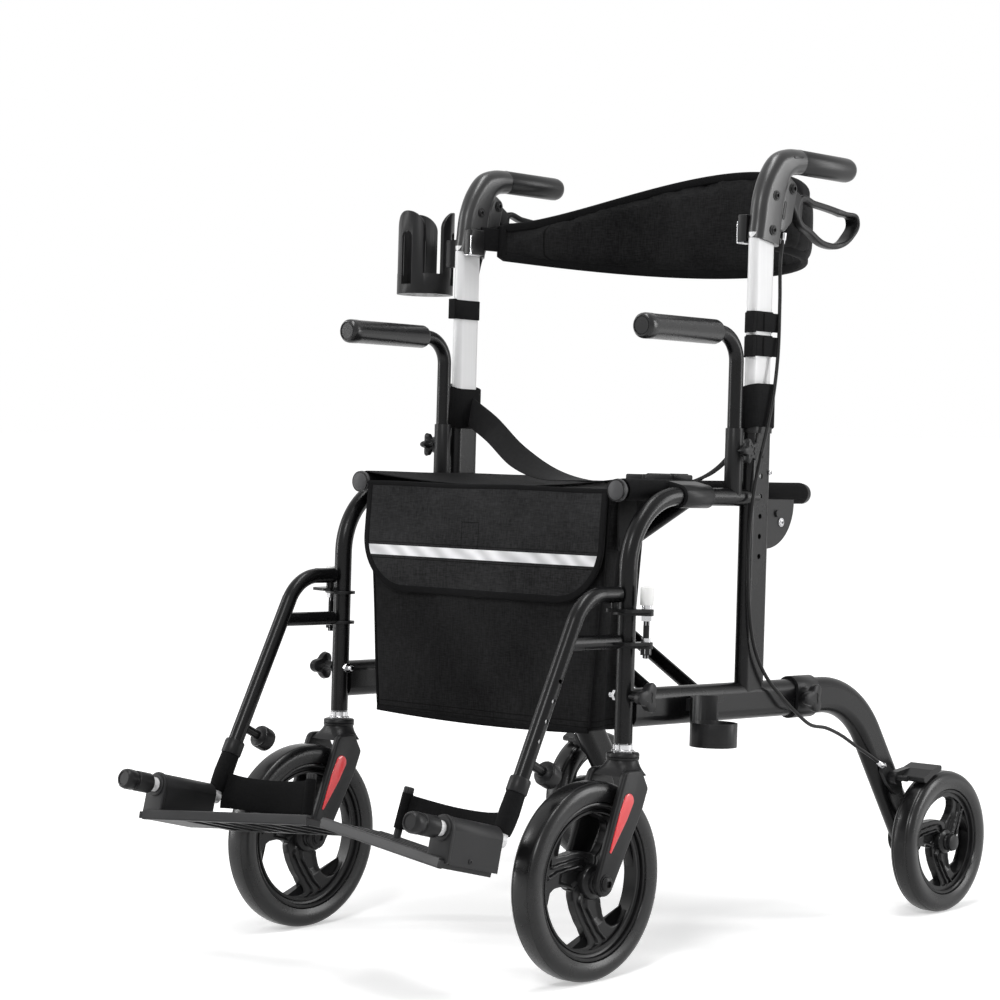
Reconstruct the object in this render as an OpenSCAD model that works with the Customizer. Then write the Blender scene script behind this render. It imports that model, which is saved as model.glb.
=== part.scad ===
// Rollator transport chair: a folding four-wheeled walking frame that turns into a
// pushed chair. Millimetres, +Z up, front at -Y, the sitter's left at +X, floor at Z 0.
// Everything but the rear wheels is drawn in level frame coordinates, and in_frame()
// pitches it backwards to where the chair stands on its wheels.

/* [Frame] */
// Backward pitch of the frame on the floor, in degrees
frame_pitch = 2; // [0:0.5:3]
// Sideways distance of a caster post from the middle
post_x = 260; // [256:1:264]
// Sideways distance of an upright from the middle
upright_x = 270; // [268:1:276]
// Fore and aft place of the caster posts
post_y = -290; // [-296:1:-286]
// Fore and aft place of the uprights
upright_y = -40; // [-44:1:-36]
// Diameter of the round frame tube
tube_d = 24; // [22:0.5:25]
// Height of the caster posts' lower ends
post_bottom_z = 295; // [292:1:300]
// Height of the top tubes
top_z = 613; // [608:1:618]
// Radius of the bend between post and top tube
loop_r = 95; // [80:1:110]
// Height of the lower tubes
lower_z = 340; // [336:1:346]
// Height of the oval lower tube
oval_h = 50; // [44:1:54]
// Width of the oval lower tube
oval_w = 28; // [26:0.5:30]
// Where the lower tube and the rear leg meet, under the collar
joint_y = 74; // [68:1:80]
// Where the rear leg starts to bend down
leg_bend_y = 124; // [118:1:130]
// Radius of the rear leg's bend
leg_bend_r = 145; // [130:1:160]

/* [Uprights] */
// Fore and aft length of the oval sleeve
sleeve_l = 50; // [46:1:54]
// Width of the oval sleeve
sleeve_w = 22; // [20:0.5:24]
// Wall of the sleeve
sleeve_wall = 2; // [1.5:0.1:2.5]
// Height of the sleeve's top
sleeve_top_z = 700; // [690:1:710]
// Height of the topmost pin hole
hole_top_z = 669; // [660:1:675]
// Distance between pin holes
hole_pitch = 27; // [22:1:30]
// Number of pin holes
hole_count = 6; // [3:1:7]
// Diameter of a pin hole
hole_d = 7; // [5:0.5:9]
// Radius of the folding guard behind the sleeve
guard_r = 62; // [50:1:70]

/* [Wheels] */
// Diameter of a front wheel
front_wheel_d = 254; // [244:1:256]
// Width of a front tyre
front_tyre_w = 38; // [34:1:40]
// Fore and aft place of the front axles, casters turned forward
front_axle_y = -362; // [-366:1:-356]
// Diameter of a rear wheel
rear_wheel_d = 203; // [195:1:210]
// Width of a rear tyre
rear_tyre_w = 36; // [32:1:38]
// Fore and aft place of the rear axles
rear_axle_y = 344; // [338:1:352]
// Sideways distance of a rear wheel from the middle
rear_wheel_x = 326; // [324:1:332]
// Diameter of the axles
axle_d = 12; // [10:0.5:14]
// Diameter of the caster stems
stem_d = 16; // [14:0.5:17]

/* [Seat and fold] */
// Sideways distance of a seat rail from the middle
rail_x = 234; // [230:1:235]
// Height of the seat rails
rail_z = 619; // [617:1:624]
// Diameter of a seat rail
rail_d = 25; // [23:0.5:26]
// Front end of the seat rails
rail_front_y = -282; // [-286:1:-276]
// Rear end of the seat rails
rail_rear_y = 123; // [110:1:130]
// Diameter of a cross-brace bar
bar_d = 18; // [16:0.5:19]
// Fore and aft place of the front bar that starts at the left
bar_front_y = -180; // [-184:1:-178]
// Fore and aft place of the rear bar that starts at the left
bar_rear_y = -88; // [-92:1:-84]
// Fore and aft step from a bar to the bar that crosses it
bar_step = 22; // [21:0.5:24]
// Thickness of the seat sling
seat_t = 6; // [4:0.5:8]

/* [Handles] */
// Height of the handle tube's lower end inside the sleeve
handle_bottom_z = 597; // [590:1:605]
// Height of the hand grip above the casting's lower edge
casting_rise = 115; // [110:1:120]
// Backward lean of the casting, in degrees
casting_lean = 8.5; // [5:0.5:10]
// Height of the hand grip
grip_z = 1072; // [1068:1:1078]
// Front end of the hand grip
grip_y = 38; // [34:1:42]
// Length of the hand grip
grip_len = 122; // [110:1:130]
// Diameter of the hand grip
grip_d = 34; // [30:1:36]
// Width of the brake lever
lever_w = 14; // [12:1:16]

/* [Armrests] */
// Fore and aft place of an armrest post
arm_y = -85; // [-88:1:-82]
// Height of an armrest
arm_z = 831; // [825:1:840]
// Diameter of the armrest tube
arm_d = 20; // [18:0.5:21]
// Bend radius of the armrest tube
arm_bend_r = 38; // [32:1:44]
// Front end of the armrest pad
pad_front_y = -287; // [-300:1:-280]
// Length of the armrest pad
pad_len = 157; // [150:1:160]
// Diameter of the armrest pad
pad_d = 33; // [30:1:34]
// Height of the armrest socket's top
socket_top_z = 705; // [700:1:715]

/* [Footrests] */
// Sideways distance of the footrest's swing pivot
swing_x = 288; // [286:1:292]
// Height of the footrest hanger's top tube
hanger_z = 486; // [482:1:490]
// Diameter of the hanger tube
hanger_d = 21; // [20:0.5:22]
// Bend radius of the hanger tube
hanger_bend_r = 60; // [50:1:70]
// Forward lean of the leg, in degrees
leg_lean = 26; // [24:0.5:28]
// Length of the hanger's straight leg
hanger_leg = 230; // [224:1:234]
// Diameter of the sliding leg tube
leg_d = 17; // [16:0.5:18]
// Diameter of the footplate hinge tube
hinge_d = 19; // [18:0.5:20]
// Upward slope of the footplate hinge towards the front, in degrees
hinge_rise = 12.5; // [10:0.5:15]
// Length of the footplate hinge tube from the bend
hinge_len = 164; // [158:1:170]
// Depth of a footplate, front to back
plate_depth = 124; // [115:1:130]
// Thickness of a footplate
plate_t = 9; // [7:0.5:11]
// Upward slope of a footplate towards the middle, in degrees
plate_tilt = 6; // [5:0.5:7]
// Gap between a footplate and the middle, so that both clear each other in the fold
plate_gap = 14.5; // [13:0.5:18]

/* [Soft goods] */
// Height of the backrest at its middle
back_h = 156; // [140:1:165]
// Height of the backrest at its ends
back_end_h = 53; // [50:1:62]
// How far the backrest bows behind its ends
back_bow = 262; // [240:1:270]
// How far the middle of the backrest stands above its ends
back_rise = 37; // [30:1:42]
// Thickness of the backrest padding at its crown
back_t = 18; // [12:1:22]
// Height of the bag's bottom
bag_bottom_z = 300; // [298:1:320]
// Depth of the bag, front to back
bag_depth = 82; // [70:1:84]
// Height of the bag flap
flap_h = 160; // [140:1:170]
// Radius of the bag flap's lower corners
flap_corner_r = 75; // [60:1:90]

/* [Accessories] */
// Inner diameter of the cup holder
cup_d = 77; // [70:1:80]
// Height of the cup holder's lobes
cup_h = 123; // [110:1:126]
// Inner diameter of the cane cup
cane_d = 56; // [50:1:58]
// Height of the cane cup's round wall
cane_h = 27; // [22:1:30]

/* [Hidden] */
$fn = 48;
SIDES = ["left", "right"];
SIDE_NODES = ["front_loop", "lower_tube", "upright", "rear_leg", "fittings", "knobs",
    "brake_cable", "brake_bracket", "brake_shoe", "handle_tube", "handle_casting",
    "hand_grip", "brake_lever", "armrest_tube", "armrest_pad", "caster_fork",
    "front_wheel", "rear_wheel", "hanger", "leg_tube", "hinge_bush", "footplate",
    "heel_strap", "seat_rail"];
MIDDLE_NODES = ["cross_arm_a", "cross_arm_b", "seat_left", "seat_right", "bag",
    "bag_flap", "backrest", "lap_belt", "belt_buckle", "cup_holder", "cane_cup"];

// Clearances: a weld or seat, a running fit on radius, and a loose fit of moving parts
seat_gap = 0.1;
run_gap = 0.05;
move_gap = 0.4;
// How far a straight run laps into the thinner bend that it joins, and how much thinner
lap = 3;
bend_thin = 0.3;

// Plan of one side frame: the front loop stands in a plane that toes in to the post
span = norm([upright_x - post_x, upright_y - post_y]);
toe = atan2(upright_x - post_x, upright_y - post_y);
tube_r = tube_d / 2;
bend_z = top_z - loop_r;
function tube_x(y) = upright_x + (y - upright_y) * tan(toe);
collar_len = 48;
collar_wall = 4;
weld_y = joint_y - collar_len / 2;
lower_toe = atan2(upright_x - post_x, weld_y - post_y);
function lower_x(y) = post_x + (y - post_y) * tan(lower_toe);

// A place on the level floor in frame coordinates, as [y, z]
function to_frame(y, z) = [
    post_y + (y - post_y) * cos(frame_pitch) - (z - post_bottom_z) * sin(frame_pitch),
    post_bottom_z + (y - post_y) * sin(frame_pitch) + (z - post_bottom_z) * cos(frame_pitch)];

front_axle = to_frame(front_axle_y, front_wheel_d / 2);
rear_axle = to_frame(rear_axle_y, rear_wheel_d / 2);
axle_r = axle_d / 2;
stem_r = stem_d / 2;
stem_in = 42;

// Rear leg: a level start, a bend, and a straight run that meets the axle
leg_centre = [leg_bend_y, lower_z - leg_bend_r];
leg_reach = norm(rear_axle - leg_centre);
leg_run = sqrt(pow(leg_reach, 2) - pow(leg_bend_r, 2));
leg_turn = atan2(rear_axle.x - leg_centre.x, rear_axle.y - leg_centre.y) - atan2(leg_run, leg_bend_r);
leg_foot = leg_centre + leg_bend_r * [sin(leg_turn), cos(leg_turn)];
rear_hub_w = rear_tyre_w + 6;
front_hub_w = front_tyre_w + 6;
fork_t = 10;

// Cross brace: each arm runs from a pivot low on one side to the rail of the other side
rail_r = rail_d / 2;
rail_cap_r = rail_r + 2;
bar_r = bar_d / 2;
pivot_r = 6;
barrel_r = 11;
arm_rise = rail_z - lower_z;
cross_z = (rail_z + lower_z) / 2;
bar_len = norm([2 * rail_x, arm_rise]);
bar_slope = atan2(arm_rise, 2 * rail_x);
barrel_y = [bar_front_y - 16, bar_rear_y + 16];
bars_a = [bar_front_y, bar_rear_y];
bars_b = [bar_front_y + bar_step, bar_rear_y - bar_step];
pin_r = 5;
seat_top_z = rail_z + seat_t / 2;
seat_front_y = rail_front_y + 8;
seat_rear_y = rail_rear_y - 10;

// Handle: oval tube in the sleeve, casting, grip and lever
bush_wall = 2;
handle_l = sleeve_l - 2 * sleeve_wall - 2 * move_gap;
handle_w = sleeve_w - 2 * sleeve_wall - 2 * move_gap;
casting_z = grip_z - casting_rise;
casting_in = 12;
casting_l = sleeve_l + 4;
casting_w = sleeve_w + 4;
casting_y = upright_y + 4;
grip_r = grip_d / 2;
lever_pivot = [casting_y + 50, grip_z - 39];
lever_pin_r = 4;
bracket_x = upright_x - casting_w / 2;

// Armrest
arm_r = arm_d / 2;
arm_x = tube_x(arm_y);
arm_bottom_z = socket_top_z - 23;
socket_r = arm_r + 2;

// Footrest: swing pivot, hanger tube, sliding leg and hinge
swing_y = post_y + 6;
swing_pin_r = 4;
lug_z = [hanger_z - 68, hanger_z - 26];
lug_t = 4;
hanger_r = hanger_d / 2;
hanger_x = post_x;
leg_dir = [-sin(leg_lean), -cos(leg_lean)];
hanger_start_y = post_y - tube_r - 7;
hanger_flat = 30;
hanger_turn = 90 - leg_lean;
hanger_bend = [hanger_start_y - hanger_flat, hanger_z - hanger_bend_r];
hanger_knee = hanger_bend + hanger_bend_r * [-sin(hanger_turn), cos(hanger_turn)];
hanger_end = hanger_knee + hanger_leg * leg_dir;
leg_r = leg_d / 2;
leg_in = 120;
leg_out = 62;
hinge_r = hinge_d / 2;
hinge_start = hanger_end + leg_out * leg_dir;
bush_r = hinge_r + 1.6;
knuckle_r = bush_r + 5;
knuckle_u = [12, 100];
cap_u = 120;
plate_drop = 36;
plate_in = hanger_x - plate_gap;
plate_sweep = 50;
plate_out = 18;
plate_y = 113;
plate_back_x = 30;
post_in = 70.5;
post_y_local = 6;
post_r = 5;
post_h = 62;
strap_h = 44;
strap_t = 3;
strap_bow = 10;
strap_rise = 10;

// Brake: bracket and shoe by the rear wheel, in polar places round the rear axle
rear_r = rear_wheel_d / 2;
shoe_gap = 3;
shoe_angle = 112;
brake_pivot_angle = 128;
brake_pivot_r = 118;
function round_axle(r, a) = rear_axle + r * [cos(a), sin(a)];
brake_pivot = round_axle(brake_pivot_r, brake_pivot_angle);
bracket_t = 6;
leg_face_x = upright_x + oval_w / 2;

// Backrest: half an ellipse behind two tabs from the casting brackets
back_end_t = 7;
back_tab_h = 34;
back_tab_t = 4;
back_hook = [bracket_x - 6, casting_y + 4 + move_gap];
back_end = [bracket_x - 12, casting_y + 41];
back_z = casting_z + 22;
back_steps = 32;
back_ring = 12;

// Soft goods under and on the seat
bag_top_z = rail_z + rail_r - 6;
bag_half_top = rail_x - rail_r - 0.3;
bag_half_low = bag_half_top - 26;
bag_front_y = rail_front_y - 1;
flap_t = 3;
flap_top_z = bag_top_z + 3;
belt_t = 2.5;
belt_gap = 0.2;
belt_z = [sleeve_top_z - 14, sleeve_top_z + 56];

// Cup holder on the right handle and cane cup on the left lower tube
cup_wall = 3.5;
cup_r = cup_d / 2 + cup_wall;
cup_x = upright_x + casting_w / 2 + 22 + cup_r;
cup_y = casting_y - 13;
cup_z = casting_z - 58;
cane_wall = 3;
cane_r = cane_d / 2 + cane_wall;
cane_y = -172;
cane_x = lower_x(cane_y) + oval_w / 2 + 6 + cane_r;
cane_z = lower_z - 51;
cane_shield = 33;

// Brake cable from the lever to the brake, chosen along its clips
cable_r = 2.5;
cable_sides = 8;
cable_path = [
    [276, 2, 970], [278, -6, 940], [283, -12, 880], [288, -20, 800], [290, -30, 750],
    [290, -42, 705], [288, -56, 655], [287, -66, 605], [287, -71, 550], [287, -70, 500],
    [287, -64, 452], [287, -52, 412], [289, -28, 374], [293, 2, 346], [296, 34, 322],
    [295, 70, 303], [292, 112, 296], [290, 150, 284], [289, 190, 266], [289, 230, 248],
    [288, 257.5, 234.6]];

module in_frame() {
    translate([0, post_y, post_bottom_z])
        rotate([-frame_pitch, 0, 0])
            translate([0, -post_y, -post_bottom_z])
                children();
}

module on_side(side) {
    if (side == "left") {
        children();
    } else {
        mirror([1, 0, 0]) children();
    }
}

// Local -Y runs from the upright to the post
module side_plane() {
    translate([upright_x, upright_y, 0])
        rotate([0, 0, -toe])
            children();
}

module rod_x(x0, x1, y, z, r) {
    translate([x0, y, z])
        rotate([0, 90, 0])
            cylinder(r = r, h = x1 - x0);
}

module rod_y(y0, y1, x, z, r) {
    translate([x, y0, z])
        rotate([-90, 0, 0])
            cylinder(r = r, h = y1 - y0);
}

module rod_z(z0, z1, x, y, r) {
    translate([x, y, z0])
        cylinder(r = r, h = z1 - z0);
}

// Flat shape in Y and Z, extruded sideways about x
module slab_x(x, t) {
    translate([x - t / 2, 0, 0])
        rotate([90, 0, 90])
            linear_extrude(t)
                children();
}

// Flat shape in X and Z, extruded backwards from y0 to y1
module slab_y(y0, y1) {
    translate([0, y1, 0])
        rotate([90, 0, 0])
            linear_extrude(y1 - y0)
                children();
}

// Section swept round a bend in the Y-Z plane, from angle a0 over a
module bend_yz(r, a0, a) {
    rotate([90, 0, 90])
        rotate([0, 0, a0])
            rotate_extrude(angle = a)
                translate([r, 0])
                    children();
}

// Stadium outline, l long along x and w wide
module oval(l, w) {
    square([l - w, w], center = true);
    for (s = [-1, 1])
        translate([s * (l - w) / 2, 0])
            circle(d = w);
}

// Two discs joined by their common tangents
module link(a, ra, b, rb) {
    along = atan2(b.y - a.y, b.x - a.x);
    turn = acos((ra - rb) / norm(b - a));
    translate(a) circle(ra);
    translate(b) circle(rb);
    polygon([for (p = [[a, ra, turn], [b, rb, turn], [b, rb, -turn], [a, ra, -turn]])
        p[0] + p[1] * [cos(along + p[2]), sin(along + p[2])]]);
}

// Chain of links through a list of [point, radius]
module chain(joints) {
    for (i = [1 : len(joints) - 1])
        link(joints[i - 1][0], joints[i - 1][1], joints[i][0], joints[i][1]);
}

// Chain of links extruded sideways one by one about x
module chain_x(x, t, joints) {
    for (i = [1 : len(joints) - 1])
        slab_x(x, t)
            link(joints[i - 1][0], joints[i - 1][1], joints[i][0], joints[i][1]);
}

// Knob with rounded lobes round its hub
module lobed(lobes, reach, hub, tip) {
    for (i = [0 : lobes - 1])
        link([0, 0], hub, reach * [cos(i * 360 / lobes + 90), sin(i * 360 / lobes + 90)], tip);
}

// Quads of a closed tube of n-point rings, as triangles, with both ends capped
function ring_faces(rings, n) = [
    for (i = [0 : rings - 2]) for (j = [0 : n - 1]) let (k = (j + 1) % n) each [
        [i * n + j, (i + 1) * n + j, i * n + k],
        [i * n + k, (i + 1) * n + j, (i + 1) * n + k]],
    for (j = [1 : n - 2]) each [
        [0, j, j + 1],
        [(rings - 1) * n, (rings - 1) * n + j + 1, (rings - 1) * n + j]]];

module swept(rings) {
    polyhedron([for (r = rings) each r], ring_faces(len(rings), len(rings[0])), convexity = 6);
}

function unit(v) = v / norm(v);
function tangent(path, i) =
    unit(path[min(i + 1, len(path) - 1)] - path[max(i - 1, 0)]);

// Welded tubes of the side frame

module loop_tube(grow = 0) {
    side_plane() {
        rod_z(post_bottom_z, bend_z, 0, -span, tube_r + grow);
        translate([0, loop_r - span, bend_z])
            bend_yz(loop_r, 90, 90)
                circle(tube_r + grow);
        rod_y(loop_r - span, 0, 0, top_z, tube_r + grow);
    }
}

module sleeve_outline(grow = 0) {
    translate([upright_x, upright_y])
        rotate(90)
            oval(sleeve_l + 2 * grow, sleeve_w + 2 * grow);
}

// The oval lower tube runs straight from the post to the front of the collar
module lower_bar(grow = 0) {
    translate([post_x, post_y, lower_z])
        rotate([0, 0, -lower_toe])
            rotate([-90, 0, 0])
                linear_extrude(norm([upright_x - post_x, weld_y - post_y]) + oval_w)
                    rotate(90)
                        oval(oval_h + 2 * grow, oval_w + 2 * grow);
}

knob_z = lower_z + 16;
knob_bolt_r = 3.5;
knob_stem_r = 7;

module front_loop() {
    color("#17181a")
        difference() {
            loop_tube();
            translate([0, 0, top_z - 2 * tube_r])
                linear_extrude(4 * tube_r)
                    sleeve_outline(seat_gap);
            rod_z(post_bottom_z - 1, post_bottom_z + stem_in, post_x, post_y, stem_r + run_gap);
            rod_x(post_x - tube_d, post_x + tube_d, post_y, knob_z, knob_bolt_r + seat_gap);
        }
}

module lower_tube() {
    color("#17181a")
        difference() {
            lower_bar();
            rod_z(lower_z - oval_h, lower_z + oval_h, post_x, post_y, tube_r + seat_gap);
            translate([post_x - oval_h, post_y - oval_h, lower_z - oval_h])
                cube([2 * oval_h, oval_h + knob_stem_r + 1, 2 * oval_h]);
            translate([upright_x - oval_h, weld_y - run_gap, lower_z - oval_h])
                cube([2 * oval_h, 2 * oval_h, 2 * oval_h]);
        }
}

module upright() {
    color("#17181a")
        difference() {
            translate([0, 0, lower_z])
                linear_extrude(sleeve_top_z - lower_z)
                    sleeve_outline();
            translate([0, 0, lower_z])
                linear_extrude(sleeve_top_z)
                    sleeve_outline(-sleeve_wall);
            lower_bar(seat_gap);
            for (i = [0 : hole_count - 1])
                rod_x(upright_x, upright_x + sleeve_w, upright_y, hole_top_z - i * hole_pitch, hole_d / 2);
        }
}

module rear_leg() {
    boss_r = oval_h / 2;
    hub_in = rear_wheel_x - rear_hub_w / 2;
    nut_x = rear_wheel_x + rear_hub_w / 2 + move_gap;
    color("#17181a") {
        translate([upright_x, weld_y, lower_z])
            rotate([-90, 0, 0])
                linear_extrude(leg_bend_y - weld_y)
                    rotate(90)
                        oval(oval_h, oval_w);
        translate([upright_x, leg_centre.x, leg_centre.y])
            bend_yz(leg_bend_r, 90 - leg_turn, leg_turn)
                oval(oval_h, oval_w);
        translate([upright_x, leg_foot.x, leg_foot.y])
            rotate([-90 - leg_turn, 0, 0])
                linear_extrude(leg_run)
                    rotate(90)
                        oval(oval_h, oval_w);
        rod_x(upright_x - oval_w / 2, leg_face_x, rear_axle.x, rear_axle.y, boss_r);
        rod_x(upright_x, hub_in - move_gap, rear_axle.x, rear_axle.y, axle_r + 6);
        rod_x(upright_x, nut_x + 5, rear_axle.x, rear_axle.y, axle_r);
        rod_x(nut_x, nut_x + 5, rear_axle.x, rear_axle.y, axle_r + 4);
    }
}

// Brackets that are welded, clamped or bolted to the side frame

module collar() {
    translate([upright_x, weld_y, lower_z])
        rotate([-90, 0, 0])
            linear_extrude(collar_len)
                rotate(90)
                    difference() {
                        oval(oval_h + 2 * collar_wall, oval_w + 2 * collar_wall);
                        oval(oval_h + 2 * seat_gap, oval_w + 2 * seat_gap);
                    }
}

saddle_y = -167;
saddle_len = 58;

module rail_saddle() {
    x = tube_x(saddle_y);
    lip = rail_x + 1;
    difference() {
        slab_y(saddle_y - saddle_len / 2, saddle_y + saddle_len / 2)
            difference() {
                link([x, top_z], tube_r + 3.5, [rail_x, rail_z], rail_r + 3.5);
                translate([rail_x, rail_z]) circle(rail_r + move_gap);
                translate([lip - 4 * rail_r, rail_z - 4 * rail_r]) square([4 * rail_r, 8 * rail_r]);
                translate([rail_x - rail_r - move_gap, rail_z]) square([rail_d + 2 * move_gap, rail_d]);
            }
        loop_tube(seat_gap);
    }
}

module fold_guard() {
    y = upright_y + sleeve_l / 2 + seat_gap;
    z = top_z - 7;
    slab_x(upright_x, 6)
        intersection() {
            translate([y, z]) circle(guard_r);
            translate([y, z - guard_r]) square([guard_r, guard_r + 5]);
        }
    rod_x(upright_x + 3, upright_x + 6, y + 24, z - 14, 5);
}

module arm_socket() {
    difference() {
        rod_z(top_z, socket_top_z, arm_x, arm_y, socket_r);
        rod_z(top_z + tube_r + 8, socket_top_z + 1, arm_x, arm_y, arm_r + run_gap);
        loop_tube(seat_gap);
    }
}

module sleeve_bush() {
    translate([0, 0, sleeve_top_z])
        linear_extrude(10)
            difference() {
                sleeve_outline(bush_wall);
                sleeve_outline(-sleeve_wall);
            }
}

module pivot_lugs() {
    x = lower_x((bar_front_y + bar_rear_y) / 2);
    difference() {
        union() {
            for (y = [barrel_y[0] - 6, barrel_y[1] + 1])
                slab_y(y, y + 5)
                    link([rail_x, lower_z], barrel_r - 1, [x, lower_z], barrel_r - 1);
            rod_y(barrel_y[0] - 6, barrel_y[1] + 6, rail_x, lower_z, pivot_r);
        }
        lower_bar(seat_gap);
    }
}

module hanger_clamps() {
    difference() {
        union() {
            for (z = lug_z)
                translate([0, 0, z])
                    linear_extrude(lug_t)
                        link([post_x, post_y], tube_r + 6, [swing_x, swing_y], swing_pin_r + 5);
            rod_z(lug_z[0] - 12, lug_z[1] + 16, swing_x, swing_y, swing_pin_r);
            rod_z(lug_z[0] - 8, lug_z[0], swing_x, swing_y, swing_pin_r + 3);
            rod_z(lug_z[1] + 14, lug_z[1] + 36, swing_x, swing_y, swing_pin_r + 4);
        }
        rod_z(lug_z[0] - 1, lug_z[1] + 40, post_x, post_y, tube_r + seat_gap);
    }
}

module fittings() {
    color("#1c1d1f") {
        collar();
        rail_saddle();
        fold_guard();
        arm_socket();
        sleeve_bush();
        pivot_lugs();
    }
    color("silver") hanger_clamps();
}

module turn_knob(x, y, z, lobes, reach, stem) {
    translate([x, y, z])
        rotate([90, 0, 90]) {
            cylinder(r = knob_stem_r, h = stem + 1);
            translate([0, 0, stem])
                linear_extrude(12)
                    lobed(lobes, reach, 12, 7);
        }
}

module knobs() {
    color("#232426") {
        turn_knob(post_x + tube_r + seat_gap, post_y, knob_z, 3, 20, 18);
        turn_knob(leg_face_x + collar_wall + seat_gap, joint_y - 10, lower_z, 3, 20, 6);
        turn_knob(arm_x + socket_r + seat_gap, arm_y, socket_top_z - 30, 5, 15, 6);
    }
    color("silver")
        rod_x(post_x - tube_r - 12, post_x + tube_r + 2, post_y, knob_z, knob_bolt_r);
}

// Brake at the rear wheel and its cable

module brake_cable() {
    rings = [for (i = [0 : len(cable_path) - 1])
        let (
            t = tangent(cable_path, i),
            u = unit(cross(t, [0, -1, 0.3])),
            v = cross(t, u))
        [for (j = [0 : cable_sides - 1]) let (a = j * 360 / cable_sides)
            cable_path[i] + cable_r * (cos(a) * u + sin(a) * v)]];
    color("#101112") swept(rings);
}

module brake_bracket() {
    seat = round_axle(brake_pivot_r - 24, 125);
    x = leg_face_x + seat_gap;
    color("#1c1d1f") {
        slab_x(x + bracket_t / 2, bracket_t)
            chain([[seat, 11], [brake_pivot, 12], [brake_pivot + [-14, 12], 8]]);
        rod_x(x, rear_wheel_x - 8, brake_pivot.x, brake_pivot.y, lever_pin_r);
    }
}

module brake_shoe() {
    pad_r = rear_r + shoe_gap;
    x0 = leg_face_x + bracket_t + 2 * seat_gap + move_gap;
    x1 = rear_wheel_x + rear_tyre_w / 2 - 4;
    pad = [for (a = [-10, 0, 10]) [round_axle(pad_r + 5, shoe_angle + a), 4.5]];
    color("#1c1d1f")
        difference() {
            union() {
                slab_x((x0 + x1) / 2, x1 - x0) chain(pad);
                slab_x(x0 + 6, 12) chain([[brake_pivot, lever_pin_r + 5], pad[1]]);
            }
            rod_x(x0 - 1, x1 + 1, brake_pivot.x, brake_pivot.y, lever_pin_r + run_gap);
        }
}

// Handle: sliding tube, casting, grip and lever

module handle_tube() {
    color("#f2f2f2")
        translate([0, 0, handle_bottom_z])
            linear_extrude(casting_z + casting_in - handle_bottom_z)
                difference() {
                    sleeve_outline(-sleeve_wall - move_gap);
                    sleeve_outline(-sleeve_wall - move_gap - 1.5);
                }
}

// Thin oval slice of the casting at [y, z], leaning back by an angle
module casting_slice(at, lean, l, w) {
    translate([upright_x, at.x, at.y])
        rotate([-lean, 0, 0])
            linear_extrude(0.5)
                rotate(90)
                    oval(l, w, $fn = 32);
}

module handle_casting() {
    shoulder = [casting_y + 9, casting_z + 60];
    elbow = [casting_y + 27, grip_z - 12];
    ear_t = 3;
    color("#3a3b3d")
        difference() {
            union() {
                hull() {
                    casting_slice([casting_y, casting_z], 0, casting_l, casting_w);
                    casting_slice(shoulder, casting_lean, casting_l - 2, casting_w + 1);
                }
                hull() {
                    casting_slice(shoulder, casting_lean, casting_l - 2, casting_w + 1);
                    casting_slice(elbow, 45, casting_l - 8, grip_d - 2);
                }
                hull() {
                    casting_slice(elbow, 45, casting_l - 8, grip_d - 2);
                    casting_slice([grip_y - 0.5, grip_z], 90, grip_d + 0.02, grip_d);
                }
                for (s = [-1, 1])
                    slab_x(upright_x + s * (lever_w / 2 + move_gap + ear_t / 2), ear_t)
                        link([casting_y + 22, lever_pivot.y - 6], 12, lever_pivot, 9);
                rod_x(upright_x - lever_w / 2 - 4, upright_x + lever_w / 2 + 4,
                    lever_pivot.x, lever_pivot.y, lever_pin_r);
                translate([bracket_x - 11, casting_y - 20, casting_z + 2])
                    cube([14, 24, 34]);
            }
            translate([0, 0, casting_z - 1])
                linear_extrude(casting_in + 1 + seat_gap)
                    sleeve_outline(-sleeve_wall - move_gap + seat_gap);
            slab_x(upright_x, lever_w + 2 * move_gap)
                link([lever_pivot.x - 4, lever_pivot.y + 6], 15, [lever_pivot.x + 14, lever_pivot.y - 30], 24);
        }
}

module hand_grip() {
    edge = 7;
    color("#242527")
        translate([upright_x, grip_y, grip_z])
            rotate([-90, 0, 0])
                rotate_extrude()
                    intersection() {
                        union() {
                            square([grip_r, grip_len - edge]);
                            square([grip_r - edge, grip_len]);
                            translate([grip_r - edge, grip_len - edge]) circle(edge);
                        }
                        square([grip_r, grip_len]);
                    }
}

// Loop lever: its outline and its finger window, in Y and Z from the pivot
lever_outline = [[-2, -7], [-2, 7], [8, 7], [31, -4.5], [97, -12.6], [161, -22.4], [165, -26], [164, -31],
    [144, -59], [135, -64], [113, -72.6], [81, -71.6], [24, -48], [19, -42], [23, -17]];
lever_window = [[36, -16.6], [97, -23], [152, -31.3], [136.5, -53.4], [111, -63.4], [83, -62.5], [31, -39.5]];

module brake_lever() {
    p = lever_pivot;
    color("#1c1d1f")
        difference() {
            union() {
                slab_x(upright_x, lever_w)
                    translate(p)
                        difference() {
                            polygon(lever_outline);
                            polygon(lever_window);
                        }
                rod_x(upright_x - lever_w / 2, upright_x + lever_w / 2, p.x, p.y, 8.5);
            }
            rod_x(upright_x - lever_w, upright_x + lever_w, p.x, p.y, lever_pin_r + run_gap);
        }
}

// Armrest

module armrest_tube() {
    color("#17181a") {
        rod_z(arm_bottom_z, arm_z - arm_bend_r, arm_x, arm_y, arm_r);
        translate([arm_x, arm_y - arm_bend_r, arm_z - arm_bend_r])
            bend_yz(arm_bend_r, 0, 90)
                circle(arm_r);
        rod_y(pad_front_y + 12, arm_y - arm_bend_r, arm_x, arm_z, arm_r);
    }
}

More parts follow.
